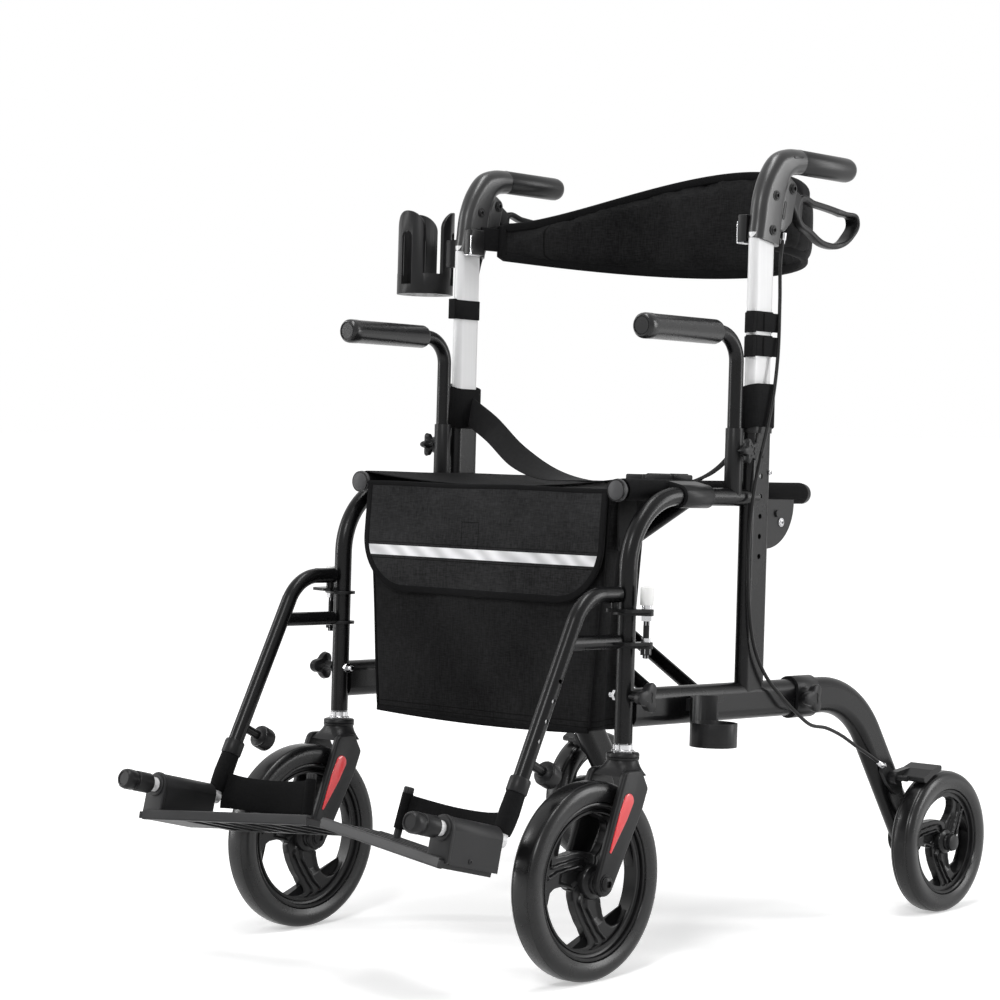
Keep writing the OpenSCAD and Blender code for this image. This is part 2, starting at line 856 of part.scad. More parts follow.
module armrest_pad() {
    r = pad_d / 2;
    edge = 4;
    color("#242527")
        translate([arm_x, pad_front_y, arm_z])
            rotate([-90, 0, 0])
                rotate_extrude()
                    difference() {
                        union() {
                            translate([0, edge]) square([r, pad_len - edge]);
                            square([r - edge, edge]);
                            translate([r - edge, edge]) circle(edge);
                        }
                        translate([-r, -r]) square([r, 3 * r]);
                        translate([0, 12 - seat_gap]) square([arm_r + seat_gap, pad_len]);
                    }
}

// Casters and wheels

module caster_fork() {
    crown_z = post_bottom_z - 16;
    inner = front_hub_w / 2 + move_gap;
    top = [post_y - 8, crown_z - 34];
    color("#1c1d1f")
        difference() {
            union() {
                rod_z(crown_z - 14, crown_z, post_x, post_y, 22);
                for (s = [-1, 1])
                    chain_x(post_x + s * (inner + fork_t / 2), fork_t,
                        [[[post_y + 2, crown_z - 20], 15], [top, 22], [front_axle, 16]]);
                slab_x(post_x, 2 * inner + 2)
                    link([post_y - 14, crown_z - 13], 7, [post_y + 12, crown_z - 13], 7);
                rod_x(post_x - inner - 1, post_x + inner + 1, front_axle.x, front_axle.y, axle_r - 1);
                for (s = [-1, 1])
                    rod_x(post_x + s * (inner + fork_t + 2) - 2, post_x + s * (inner + fork_t + 2) + 2,
                        front_axle.x, front_axle.y, axle_r + 2);
            }
            rod_z(crown_z, post_bottom_z + 40, post_x, post_y, 40);
        }
    color("silver") {
        rod_z(crown_z, post_bottom_z - 1, post_x, post_y, tube_r);
        rod_z(crown_z, post_bottom_z + stem_in - 2, post_x, post_y, stem_r);
    }
}

// Spoked wheel about the x axis at its centre: tyre, rim, three curved windows and hub
module wheel(d, tyre_w, hub_w, bore_r) {
    r = d / 2;
    rim = r - 26;
    web = tyre_w * 0.45;
    rotate([0, 90, 0])
        difference() {
            union() {
                rotate_extrude()
                    translate([r - 12, 0])
                        oval_rim(tyre_w);
                cylinder(r = r - 10, h = web, center = true);
                cylinder(r = 17, h = hub_w, center = true);
            }
            for (i = [0 : 2])
                rotate([0, 0, i * 120])
                    translate([0, 0, -web])
                        linear_extrude(2 * web)
                            chain([[rim * 0.6 * [1, 0], rim * 0.27],
                                [rim * 0.7 * [cos(35), sin(35)], rim * 0.2],
                                [rim * 0.78 * [cos(66), sin(66)], rim * 0.09]]);
            cylinder(r = bore_r, h = hub_w + 2, center = true);
        }
}

// Tyre section: flat tread with round shoulders and a rim flange inside it
module oval_rim(w) {
    translate([0, 6 - w / 2])
        square([12, w - 12]);
    translate([0, -w / 2])
        square([6, w]);
    for (s = [-1, 1])
        translate([6, s * (w / 2 - 6)])
            circle(6);
    translate([-14, -w * 0.36])
        square([15, w * 0.72]);
}

module front_wheel() {
    color("#202123")
        translate([post_x, front_axle.x, front_axle.y])
            wheel(front_wheel_d, front_tyre_w, front_hub_w, axle_r - 1 + run_gap);
}

module rear_wheel() {
    color("#202123")
        translate([rear_wheel_x, rear_axle.x, rear_axle.y])
            wheel(rear_wheel_d, rear_tyre_w, rear_hub_w, axle_r + run_gap);
}

// Footrest

module hanger() {
    depth = hanger_leg - 20;
    plunger = hanger_knee + (hanger_leg - 42) * leg_dir;
    color("#17181a")
        difference() {
            union() {
                rod_y(hanger_bend.x - lap, hanger_start_y, hanger_x, hanger_z, hanger_r);
                translate([hanger_x, hanger_bend.x, hanger_bend.y])
                    bend_yz(hanger_bend_r, 90, hanger_turn)
                        circle(hanger_r - bend_thin);
                translate([hanger_x, hanger_knee.x, hanger_knee.y])
                    rotate([180 - leg_lean, 0, 0])
                        translate([0, 0, -lap])
                            cylinder(r = hanger_r, h = hanger_leg + lap);
                translate([hanger_x, hanger_end.x, hanger_end.y])
                    rotate([-leg_lean, 0, 0])
                        cylinder(r = hanger_r + 2.5, h = 18);
                rod_y(hanger_knee.x - 12, hanger_start_y, hanger_x, lug_z[0] + 8, hanger_r - 1);
                for (z = lug_z)
                    translate([0, 0, z + lug_t + move_gap])
                        linear_extrude(lug_t)
                            chain([[[swing_x, swing_y], swing_pin_r + 5],
                                [[swing_x - 6, swing_y - 30], 9],
                                [[hanger_x, hanger_start_y - 10], 9]]);
                translate([hanger_x, plunger.x, plunger.y])
                    rotate([-90 - leg_lean, 0, 0]) {
                        cylinder(r = 6, h = 40);
                        translate([0, 0, 36]) cylinder(r = 15, h = 18);
                    }
                translate([hanger_x, hanger_start_y - 6, lug_z[1] + 2 * lug_t])
                    cylinder(r = 5, h = hanger_z - lug_z[1] - 2 * lug_t);
            }
            rod_z(lug_z[0], hanger_z + 1, swing_x, swing_y, swing_pin_r + run_gap);
            rod_z(lug_z[0], hanger_z + 20, post_x, post_y, tube_r + 1);
            translate([hanger_x, hanger_end.x, hanger_end.y])
                rotate([-leg_lean, 0, 0])
                    translate([0, 0, -1])
                        cylinder(r = leg_r + run_gap, h = depth);
            for (i = [1 : 4])
                rod_x(hanger_x, hanger_x + hanger_d,
                    (plunger - i * hole_pitch * leg_dir).x,
                    (plunger - i * hole_pitch * leg_dir).y, 3);
        }
}

// Local -Y runs forward along the footplate hinge, with Z square to it
module at_hinge() {
    translate([hanger_x, hinge_start.x, hinge_start.y])
        rotate([-hinge_rise, 0, 0])
            children();
}

module leg_tube() {
    top = hanger_end - leg_in * leg_dir;
    color("#e8e8ea")
        translate([hanger_x, top.x, top.y])
            rotate([180 - leg_lean, 0, 0])
                cylinder(r = leg_r, h = leg_in + leg_out);
    color("#e8e8ea")
        at_hinge() {
            sphere(leg_r + 0.5);
            rod_y(-hinge_len, 0, 0, 0, hinge_r);
        }
    color("#1c1d1f")
        at_hinge()
            rod_y(-hinge_len, -cap_u, 0, 0, hinge_r + 4);
}

module hinge_bush() {
    color("#2c2d2f")
        at_hinge()
            difference() {
                rod_y(-knuckle_u[1], -knuckle_u[0], 0, 0, bush_r);
                rod_y(-knuckle_u[1] - 1, -knuckle_u[0] + 1, 0, 0, hinge_r + run_gap);
            }
}

// Front and rear edge of a footplate, which sweeps back towards the middle
function plate_front(x) = -plate_y + plate_sweep * (plate_out - x) / (plate_out + plate_in);
function plate_rear(x) = plate_depth - plate_y + plate_sweep * (-plate_back_x - x) / (plate_in - plate_back_x);

module footplate() {
    front = [for (x = [plate_out, -plate_in]) [x, plate_front(x)]];
    back = [for (x = [-plate_in, -plate_back_x]) [x, plate_rear(x)]];
    rib_pitch = (plate_in - 46) / 7;
    rib_t = 6;
    rim_t = 11;
    nose = 2;
    color("#2a2b2d")
        at_hinge() {
            difference() {
                union() {
                    slab_y(-knuckle_u[1], -knuckle_u[0]) {
                        circle(knuckle_r);
                        translate([-knuckle_r, -plate_drop - 5])
                            square([2 * knuckle_r, plate_drop + 5]);
                    }
                    rotate([0, plate_tilt, 0])
                        translate([0, 0, -plate_drop - plate_t])
                            linear_extrude(plate_t)
                                polygon(concat(front, back, [[-plate_back_x, -knuckle_u[0]], [plate_out, -knuckle_u[0] - 8]]));
                }
                rod_y(-knuckle_u[1] - 1, -knuckle_u[0] + 1, 0, 0, bush_r + run_gap);
                rotate([0, plate_tilt, 0]) {
                    translate([0, 0, -plate_drop - plate_t - 1])
                        linear_extrude(plate_t - 2)
                            for (i = [0 : 6])
                                let (x0 = -plate_in + rim_t + i * rib_pitch, x1 = x0 + rib_pitch - rib_t)
                                polygon([[x0, plate_front(x0) + rim_t], [x1, plate_front(x1) + rim_t],
                                    [x1, plate_rear(x1) - rim_t], [x0, plate_rear(x0) - rim_t]]);
                    slab_y(-plate_depth, plate_depth)
                        polygon([[-plate_in - 1, -plate_drop - nose], [-plate_in, -plate_drop - nose],
                            [-plate_in + plate_t - nose + 1, -plate_drop - plate_t - 1],
                            [-plate_in - 1, -plate_drop - plate_t - 1]]);
                }
            }
            rotate([0, plate_tilt, 0])
                translate([-plate_in + post_in, post_y_local, -plate_drop - 1])
                    cylinder(r = post_r, h = post_h);
        }
}

module heel_strap() {
    steps = 8;
    x0 = -plate_in + post_in + post_r + move_gap;
    x1 = -hinge_r - 4;
    rings = [for (i = [0 : steps])
        let (s = i / steps, x = x0 + (x1 - x0) * s, y = post_y_local + strap_bow * sin(180 * s), low = strap_rise * s - strap_h / 2)
        [[x, y - strap_t / 2, low], [x, y + strap_t / 2, low],
            [x, y + strap_t / 2, low + strap_h], [x, y - strap_t / 2, low + strap_h]]];
    color("#151617")
        at_hinge()
            rotate([0, plate_tilt, 0])
                swept(rings);
}

// Seat rails and cross brace

module seat_rail() {
    color("#17181a") {
        rod_y(rail_front_y, rail_rear_y, rail_x, rail_z, rail_r);
        rod_y(rail_front_y - 6, rail_front_y, rail_x, rail_z, rail_cap_r);
    }
}

// One arm, from its barrel at the left to the rail at the right
module cross_arm(bars, bore) {
    difference() {
        union() {
            for (y = bars)
                translate([rail_x, y, lower_z])
                    rotate([0, bar_slope - 90, 0])
                        cylinder(r = bar_r, h = bar_len);
            rod_y(barrel_y[0], barrel_y[1], rail_x, lower_z, barrel_r);
        }
        rod_y(barrel_y[0] - 1, barrel_y[1] + 1, rail_x, lower_z, pivot_r + run_gap);
        rod_y(rail_front_y, rail_rear_y, -rail_x, rail_z, rail_r + seat_gap);
        if (bore)
            rod_y(barrel_y[0], barrel_y[1], 0, cross_z, pin_r + run_gap);
    }
}

module cross_arm_a() {
    color("#17181a") {
        cross_arm(bars_a, false);
        rod_y(bar_front_y - bar_r - 3, bar_rear_y + bar_r + 3, 0, cross_z, pin_r);
    }
}

module cross_arm_b() {
    color("#17181a")
        mirror([1, 0, 0])
            cross_arm(bars_b, true);
}

// One half, cut away at its edge where the bars of an arm meet the rail
module seat_half(bars) {
    edge = rail_x - rail_r - move_gap;
    low = seat_top_z - seat_t;
    bar_x = rail_x - (rail_z + bar_r / cos(bar_slope) - low) / tan(bar_slope);
    notch = bar_d + 3;
    color("#141516")
        difference() {
            translate([0.5, seat_front_y, low])
                cube([edge - 0.5, seat_rear_y - seat_front_y, seat_t]);
            for (y = bars)
                translate([bar_x - 1.5, y - notch / 2, low - 1])
                    cube([edge, notch, seat_t + 2]);
        }
}

module seat_left() {
    seat_half(bars_b);
}

module seat_right() {
    mirror([1, 0, 0]) seat_half(bars_a);
}

// Bag under the front of the seat

module bag() {
    r = 22;
    low = bag_half_low - r;
    top = bag_top_z - seat_t - 16;
    corner = [for (a = [0 : 15 : 90]) [low + r * cos(a), bag_bottom_z + r - r * sin(a)]];
    half = concat([[0, top], [bag_half_top, top]], corner, [[0, bag_bottom_z]]);
    color("#141516")
        slab_y(bag_front_y, bag_front_y + bag_depth)
            polygon(concat(half, [for (i = [len(half) - 2 : -1 : 1]) [-half[i].x, half[i].y]]));
}

module bag_flap() {
    r = flap_corner_r;
    low = flap_top_z - flap_h;
    half = rail_x - rail_cap_r - 2 * move_gap;
    color("#141516")
        slab_y(bag_front_y - flap_t - move_gap, bag_front_y - move_gap) {
            translate([-half, low + r]) square([2 * half, flap_h - r - 10]);
            translate([r - half, low]) square([2 * half - 2 * r, flap_h - r]);
            for (s = [-1, 1])
                translate([s * (half - r), low + r])
                    circle(r);
        }
}

// Padded backrest band between the casting brackets, crowned in section
function back_loop(x, y, turn, z, h, t) =
    [for (j = [0 : back_ring - 1])
        let (a = j * 360 / back_ring, c = t / 2 * sin(a) * pow(abs(sin(a)), 0.2))
        [x - c * sin(turn), y + c * cos(turn), z + h / 2 * cos(a)]];
function back_tab(s, at) = back_loop(s * at.x, at.y, -90 * s, back_z, back_tab_h, back_tab_t);

module backrest() {
    band = [for (i = [0 : back_steps])
        let (a = 180 * i / back_steps - 90, full = pow(cos(a), 1.6))
        back_loop(-back_end.x * sin(a), back_end.y + back_bow * cos(a),
            atan2(back_bow * sin(a), back_end.x * cos(a)),
            back_z + back_rise * full, back_end_h + (back_h - back_end_h) * full,
            back_end_t + (back_t - back_end_t) * pow(cos(a), 0.5))];
    root = back_end - [0, 2];
    color("#141516")
        swept(concat([back_tab(1, back_hook), back_tab(1, root)], band, [back_tab(-1, root), back_tab(-1, back_hook)]));
}

// Lap belt: a loop round each upright, and webbing that sags to the seat
module lap_belt() {
    half = 21;
    loop_in = upright_x - sleeve_w / 2 - belt_t;
    rest_z = seat_top_z + 2 + belt_t;
    mid_z = (belt_z[0] + belt_z[1]) / 2;
    run = [[-loop_in + 0.5, upright_y, mid_z, 80], [-210, upright_y - 6, mid_z - 22, 62],
        [-140, upright_y - 20, rest_z + 32, 42], [-60, upright_y - 34, rest_z + 6, 16],
        [0, upright_y - 36, rest_z, 0], [90, upright_y - 36, rest_z, 0],
        [190, upright_y - 36, rest_z, 0], [rail_x - 6, upright_y - 30, rail_z + rail_r + 17, 35],
        [loop_in - 0.5, upright_y, mid_z - 20, 80]];
    rings = [for (p = run)
        let (c = [p[0], p[1], p[2]], w = half * [0, cos(p[3]), sin(p[3])], n = belt_t / 2 * [0, -sin(p[3]), cos(p[3])])
        [c - w - n, c + w - n, c + w + n, c - w + n]];
    color("#18191a") {
        swept(rings);
        for (s = SIDES)
            on_side(s)
                translate([0, 0, sleeve_top_z + 4])
                    linear_extrude(belt_z[1] - sleeve_top_z - 4)
                        difference() {
                            sleeve_outline(bush_wall + belt_gap + belt_t);
                            sleeve_outline(bush_wall + belt_gap);
                        }
    }
}

module belt_buckle() {
    z = seat_top_z + 2 + 2 * belt_t - 0.4;
    color("#1c1d1f")
        translate([90, upright_y - 36 - 24, z])
            cube([85, 48, 12]);
}

// Cup holder on the right handle casting

module cup_holder() {
    wide = 52;
    slot = 20;
    bracket_w = 22;
    color("#232426")
        translate([-cup_x, cup_y, cup_z]) {
            difference() {
                union() {
                    intersection() {
                        cylinder(r = cup_r, h = cup_h);
                        union()
                            for (i = [0 : 2])
                                rotate([0, 0, i * 120 + 30])
                                    arch(wide, cup_h, 0);
                    }
                    cylinder(r = cup_r, h = 30);
                    translate([cup_r - 4, -bracket_w / 2 + 8, 40])
                        cube([cup_x - cup_r + 4 - upright_x - casting_w / 2 - seat_gap - 0.15, bracket_w, 40]);
                }
                translate([0, 0, 6]) cylinder(r = cup_r - cup_wall, h = cup_h);
                for (i = [0 : 2])
                    rotate([0, 0, i * 120 + 30])
                        arch(slot, cup_h - 30, 14);
                for (i = [0 : 7])
                    rotate([0, 0, i * 45])
                        translate([24, 0, -1])
                            cylinder(r = 4, h = 8);
            }
        }
}

// Round-topped prism that reaches out from the middle along +x
module arch(w, h, z0) {
    rotate([90, 0, 90])
        linear_extrude(2 * cup_r) {
            translate([-w / 2, z0]) square([w, h - w / 2 - z0]);
            translate([0, h - w / 2]) circle(w / 2);
        }
}

// Cup for the foot of a cane, on the left lower tube

module cane_cup() {
    floor_t = 4;
    top = cane_h + floor_t + cane_shield;
    color("#232426")
        difference() {
            translate([cane_x, cane_y, cane_z])
                difference() {
                    union() {
                        cylinder(r = cane_r, h = top);
                        translate([-cane_r - 7, -12, top - 20])
                            cube([11, 24, 16]);
                    }
                    translate([0, 0, floor_t]) cylinder(r = cane_d / 2, h = top);
                    translate([0, 0, floor_t + cane_h]) cylinder(r = cane_d / 2 + 0.6, h = top);
                    translate([-cane_r * 0.45, -2 * cane_r, floor_t + cane_h])
                        cube([3 * cane_r, 4 * cane_r, top]);
                }
            lower_bar(seat_gap);
        }
}

for (side = SIDES) {
    in_frame() on_side(side) front_loop();
    in_frame() on_side(side) lower_tube();
    in_frame() on_side(side) upright();
    in_frame() on_side(side) rear_leg();
    in_frame() on_side(side) fittings();
    in_frame() on_side(side) knobs();
    in_frame() on_side(side) brake_cable();
    in_frame() on_side(side) brake_bracket();
    in_frame() on_side(side) brake_shoe();
    in_frame() on_side(side) handle_tube();
    in_frame() on_side(side) handle_casting();
    in_frame() on_side(side) hand_grip();
    in_frame() on_side(side) brake_lever();
    in_frame() on_side(side) armrest_tube();
    in_frame() on_side(side) armrest_pad();
    in_frame() on_side(side) caster_fork();
    in_frame() on_side(side) front_wheel();
    in_frame() on_side(side) rear_wheel();
    in_frame() on_side(side) hanger();
    in_frame() on_side(side) leg_tube();
    in_frame() on_side(side) hinge_bush();
    in_frame() on_side(side) footplate();
    in_frame() on_side(side) heel_strap();
    in_frame() on_side(side) seat_rail();
}
in_frame() cross_arm_a();
in_frame() cross_arm_b();
in_frame() seat_left();
in_frame() seat_right();
in_frame() bag();
in_frame() bag_flap();
in_frame() backrest();
in_frame() lap_belt();
in_frame() belt_buckle();
in_frame() cup_holder();
in_frame() cane_cup();
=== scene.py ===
import math

import bpy
import numpy as np
from mathutils import Matrix, Vector


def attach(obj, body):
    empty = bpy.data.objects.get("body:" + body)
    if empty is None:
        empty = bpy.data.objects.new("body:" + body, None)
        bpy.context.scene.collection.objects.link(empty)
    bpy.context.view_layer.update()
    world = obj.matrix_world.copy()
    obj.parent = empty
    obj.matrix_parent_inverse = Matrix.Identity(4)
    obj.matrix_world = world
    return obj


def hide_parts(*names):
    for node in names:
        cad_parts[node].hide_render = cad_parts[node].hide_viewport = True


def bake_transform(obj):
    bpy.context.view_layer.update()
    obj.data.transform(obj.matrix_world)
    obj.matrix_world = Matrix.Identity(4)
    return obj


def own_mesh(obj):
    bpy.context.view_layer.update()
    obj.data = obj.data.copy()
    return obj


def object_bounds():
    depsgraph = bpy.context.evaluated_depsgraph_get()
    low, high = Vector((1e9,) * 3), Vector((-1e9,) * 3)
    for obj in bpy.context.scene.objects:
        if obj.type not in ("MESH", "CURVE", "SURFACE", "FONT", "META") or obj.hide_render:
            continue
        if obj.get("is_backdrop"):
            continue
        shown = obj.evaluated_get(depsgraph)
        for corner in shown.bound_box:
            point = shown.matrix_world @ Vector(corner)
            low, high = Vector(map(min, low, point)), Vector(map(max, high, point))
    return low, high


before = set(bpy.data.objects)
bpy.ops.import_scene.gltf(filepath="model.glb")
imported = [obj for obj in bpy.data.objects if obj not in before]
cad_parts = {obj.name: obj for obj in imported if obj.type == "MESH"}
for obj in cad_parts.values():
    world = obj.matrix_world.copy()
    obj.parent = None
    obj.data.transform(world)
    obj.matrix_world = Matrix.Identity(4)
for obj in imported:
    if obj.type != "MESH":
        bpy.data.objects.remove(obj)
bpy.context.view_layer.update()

# The view: the chair seen from its front left, a little above the seat, through a long
# lens. The place, turn and lens were found from the paired tubes and wheels of the chair.
VIEW_AT = (2.4497, -2.9368, 0.7368)
VIEW_AZIMUTH, VIEW_ELEVATION, VIEW_ROLL = (math.radians(a) for a in (42.256, 2.176, 0.246))
VIEW_SENSOR, VIEW_LENS = 36, 96.77
back = Vector((math.sin(VIEW_AZIMUTH) * math.cos(VIEW_ELEVATION),
               -math.cos(VIEW_AZIMUTH) * math.cos(VIEW_ELEVATION), math.sin(VIEW_ELEVATION)))
right = Vector((math.cos(VIEW_AZIMUTH), math.sin(VIEW_AZIMUTH), 0))
up = back.cross(right)
right, up = (right * math.cos(VIEW_ROLL) + up * math.sin(VIEW_ROLL),
             up * math.cos(VIEW_ROLL) - right * math.sin(VIEW_ROLL))
optics = bpy.data.cameras.new("view")
optics.sensor_width, optics.lens = VIEW_SENSOR, VIEW_LENS
view = bpy.data.objects.new("view", optics)
view.matrix_world = Matrix.Translation(VIEW_AT) @ Matrix((right, up, back)).transposed().to_4x4()
bpy.context.scene.collection.objects.link(view)
bpy.context.scene.camera = view
bpy.context.scene.view_settings.view_transform = "Standard"


# Powder-coated tubes of the two side frames and of the fold: deep black, glossy, with the
# faint unevenness of baked powder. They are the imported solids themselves.
class Wire:
    """A shader socket to reckon with: each operator adds one Math node."""

    def __init__(self, shade, socket):
        self.shade, self.socket = shade, socket

    def math(operation, turned=False):
        def add(self, other=0.0):
            pair = (other, self) if turned else (self, other)
            return self.shade.node("ShaderNodeMath", {"operation": operation}, dict(enumerate(pair)))
        return add

    __add__ = __radd__ = math("ADD")
    __mul__ = __rmul__ = math("MULTIPLY")
    __sub__, __rsub__ = math("SUBTRACT"), math("SUBTRACT", True)
    above, sine, size = math("GREATER_THAN"), math("SINE"), math("ABSOLUTE")
    most, least = math("MAXIMUM"), math("MINIMUM")

    def outlet(self, key):
        """Another output of the same node."""
        return Wire(self.shade, self.socket.node.outputs[key])


class Shade:
    """A finish: one Principled shader, whose sockets take numbers, colours or Wires."""

    def __init__(self, name):
        self.look = bpy.data.materials.new(name)
        self.look.use_nodes = True
        self.tree = self.look.node_tree
        self.shader = self.tree.nodes["Principled BSDF"]

    def feed(self, socket, value):
        if isinstance(value, Wire):
            self.tree.links.new(value.socket, socket)
        else:
            socket.default_value = value

    def node(self, kind, settings=None, sockets=None, out=0):
        made = self.tree.nodes.new(kind)
        for key, value in (settings or {}).items():
            setattr(made, key, value)
        for key, value in (sockets or {}).items():
            self.feed(made.inputs[key], value)
        return Wire(self, made.outputs[out])

    def place(self, kind="Object"):
        return self.node("ShaderNodeTexCoord", out=kind)

    def lengths(self, kind="Object"):
        """The three lengths of a place, in metres, as Wires."""
        split = self.node("ShaderNodeSeparateXYZ", sockets={0: self.place(kind)})
        return [split.outlet(i) for i in range(3)]

    def noise(self, scale, detail=3.0, stretch=(1, 1, 1)):
        spot = self.node("ShaderNodeMapping", sockets={"Vector": self.place(), "Scale": stretch})
        return self.node("ShaderNodeTexNoise", sockets={"Vector": spot, "Scale": scale, "Detail": detail,
                                                        "Roughness": 0.55})

    def mix(self, mask, first, second):
        """A Mix node for colours: its sockets 6 and 7 take the two colours, and its output 2 is the result."""
        return self.node("ShaderNodeMix", {"data_type": "RGBA"}, {0: mask, 6: first, 7: second}, out=2)

    def tint(self, mask, dark, light):
        """A colour between two, by a mask from 0 to 1."""
        return self.mix(mask, (*dark, 1), (*light, 1))

    def relief(self, height, depth, strength):
        return self.node("ShaderNodeBump", sockets={"Height": height, "Distance": depth, "Strength": strength})

    def wear(self, **sockets):
        for key, value in sockets.items():
            self.feed(self.shader.inputs[key.replace("_", " ")], value)
        return self.look


def moulded(name, dark, light, rough, grain=900, shine=0.16, drift=(22, 3), change=0.10, relief=(0.00018, 0.12)):
    """A coat or a moulded skin: a fine even grain, and a slow drift in colour and roughness over the piece."""
    s = Shade(name)
    cloud = s.noise(*drift)
    return s.wear(Base_Color=s.tint(cloud, dark, light), Roughness=rough + cloud * change,
                  Specular_IOR_Level=shine, Normal=s.relief(s.noise(grain, 2), *relief))


SIDES = (("left", 1), ("right", -1))
SHARP = math.radians(38)
WELD_GAP = 0.00002


def paired(*names):
    """The names of like pieces on both sides of the chair."""
    return [f"{side}_{name}" for side, _ in SIDES for name in names]


def dress(look, *nodes, round_edge=0.0):
    """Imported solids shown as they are, in a finish. A rounded edge is a live bevel on welded triangles."""
    for node in nodes:
        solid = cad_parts[node]
        solid.data.materials.clear()
        solid.data.materials.append(look)
        if round_edge:
            weld = solid.modifiers.new("weld", "WELD")
            weld.merge_threshold = WELD_GAP
            edge = solid.modifiers.new("edge", "BEVEL")
            edge.width, edge.segments, edge.angle_limit = round_edge, 2, SHARP
            edge.harden_normals = True


gloss_black = moulded("gloss_black_frame", (0.003, 0.003, 0.0032), (0.006, 0.006, 0.0065), 0.24,
                      420, 0.18, (14, 4), 0.06, (0.0002, 0.08))
dress(gloss_black, "cross_arm_a", "cross_arm_b",
      *paired("front_loop", "lower_tube", "upright", "rear_leg", "armrest_tube", "hanger", "seat_rail"))


# Casters and rear wheels: a smooth solid tyre on a moulded black wheel with three swept spokes. A caster's
# moulded fork has a red insert in each leg, and a cap and a zinc collar join it to the post.
POST = np.array((260.0, -290.0, 295.0))
PITCH = math.radians(2)
SIDEWAYS, REARWARD, UPWARD = np.eye(3)
TIP = 0.01


def stand(level):
    """Points in the chair's level millimetres to metres on the floor: the frame leans back 2 degrees about
    the posts' feet."""
    p = np.asarray(level, float)
    y, z = p[..., 1] - POST[1], p[..., 2] - POST[2]
    c, s = math.cos(PITCH), math.sin(PITCH)
    return np.stack([p[..., 0], POST[1] + y * c + z * s, POST[2] - y * s + z * c], -1) / 1000


def level_of(y, z):
    """The reverse of stand() for a place on the side of the chair, in millimetres."""
    dy, dz = y - POST[1], z - POST[2]
    c, s = math.cos(PITCH), math.sin(PITCH)
    return np.array((POST[1] + dy * c - dz * s, POST[2] + dy * s + dz * c))


def skin(rings, loop=False):
    """Quads between neighbouring closed rings of points. loop joins the last ring to the first, and otherwise
    a face closes each end ring."""
    rings = np.asarray(rings, float)
    i = np.arange(rings.shape[0] * rings.shape[1]).reshape(rings.shape[:2])
    j = np.concatenate([i, i[:, :1]], 1)
    j = np.concatenate([j, j[:1]], 0) if loop else j
    quads = np.stack([j[:-1, :-1], j[:-1, 1:], j[1:, 1:], j[1:, :-1]], -1).reshape(-1, 4).tolist()
    if not loop:
        quads += [i[0][::-1].tolist(), i[-1].tolist()]
    return rings.reshape(-1, 3), quads


def piece(name, parts, body, look, side=1, stands_for=(), cloth=None):
    """One object from surfaces in level millimetres. On the right they are mirrored and their faces turned.
    cloth gives each point's two lengths along the fabric, in metres."""
    start = np.cumsum([0] + [len(v) for v, _ in parts])
    points = np.concatenate([v for v, _ in parts]) * (side, 1, 1)
    faces = [[k + n for k in (f if side > 0 else f[::-1])] for (_, fs), n in zip(parts, start) for f in fs]
    mesh = bpy.data.meshes.new(name)
    mesh.from_pydata(stand(points).tolist(), [], faces)
    mesh.polygons.foreach_set("use_smooth", np.ones(len(mesh.polygons), bool))
    mesh.set_sharp_from_angle(angle=SHARP)
    if cloth is not None:
        corner = np.zeros(len(mesh.loops), np.int32)
        mesh.loops.foreach_get("vertex_index", corner)
        lay = np.asarray(cloth, np.float32)[corner].ravel()
        mesh.uv_layers.new(name="cloth").data.foreach_set("uv", lay)
    mesh.materials.append(look)
    made = bpy.data.objects.new(name, mesh)
    bpy.context.scene.collection.objects.link(made)
    if body:
        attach(made, body)
    if stands_for:
        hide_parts(*stands_for)
    return made


def both(name, parts, body, look, stands_for=None):
    """The same piece on the left and on the right, each on its own side's body and for its own side's node."""
    return [piece(f"{side}_{name}", parts, body and f"{side}_{body}", look, s,
                  [f"{side}_{stands_for}"] if stands_for else ()) for side, s in SIDES]


def turned(profile, origin, axis, count=72, lobes=0, swell=0.0, ring=False):
    """A turned shape: each (along, radius) of the profile is a circle about the axis. The profile is closed to
    the axis at both ends, or on itself for a ring. Lobes swell the radius by a cosine round the axis."""
    if not ring:
        profile = ([(u, TIP) for u, r in profile[:1] if r > TIP] + profile
                   + [(u, TIP) for u, r in profile[-1:] if r > TIP])
    profile = np.asarray(profile, float)
    axis = np.asarray(axis, float) / np.linalg.norm(axis)
    e1 = np.cross(axis, UPWARD if abs(axis[2]) < 0.9 else REARWARD)
    e1 /= np.linalg.norm(e1)
    a = np.arange(count) * 2 * np.pi / count
    circle = np.cos(a)[:, None] * e1 + np.sin(a)[:, None] * np.cross(axis, e1)
    grow = 1 + swell * np.cos(lobes * a)[None, :] if lobes else np.ones((1, count))
    return skin(np.asarray(origin) + profile[:, None, :1] * axis + (profile[:, 1:] * grow)[..., None] * circle, ring)


def carry(path, section, across=SIDEWAYS, closed=False):
    """A section carried along a path: its first length lies along the given direction, squared to the path,
    its second along path x that."""
    path = np.asarray(path, float)
    run = np.roll(path, -1, 0) - np.roll(path, 1, 0) if closed else np.gradient(path, axis=0)
    run /= np.linalg.norm(run, axis=1)[:, None]
    a = np.broadcast_to(np.asarray(across, float), run.shape)
    a = a - (a * run).sum(1)[:, None] * run
    a = a / np.linalg.norm(a, axis=1)[:, None]
    section = np.broadcast_to(section, (len(path),) + np.shape(section)[-2:])
    return skin(path[:, None] + section[..., :1] * a[:, None] + section[..., 1:] * np.cross(run, a)[:, None], closed)


def steps_along(points):
    """How far along a line of points each of them lies."""
    return np.concatenate([[0], np.cumsum(np.linalg.norm(np.diff(points, axis=0), axis=1))])


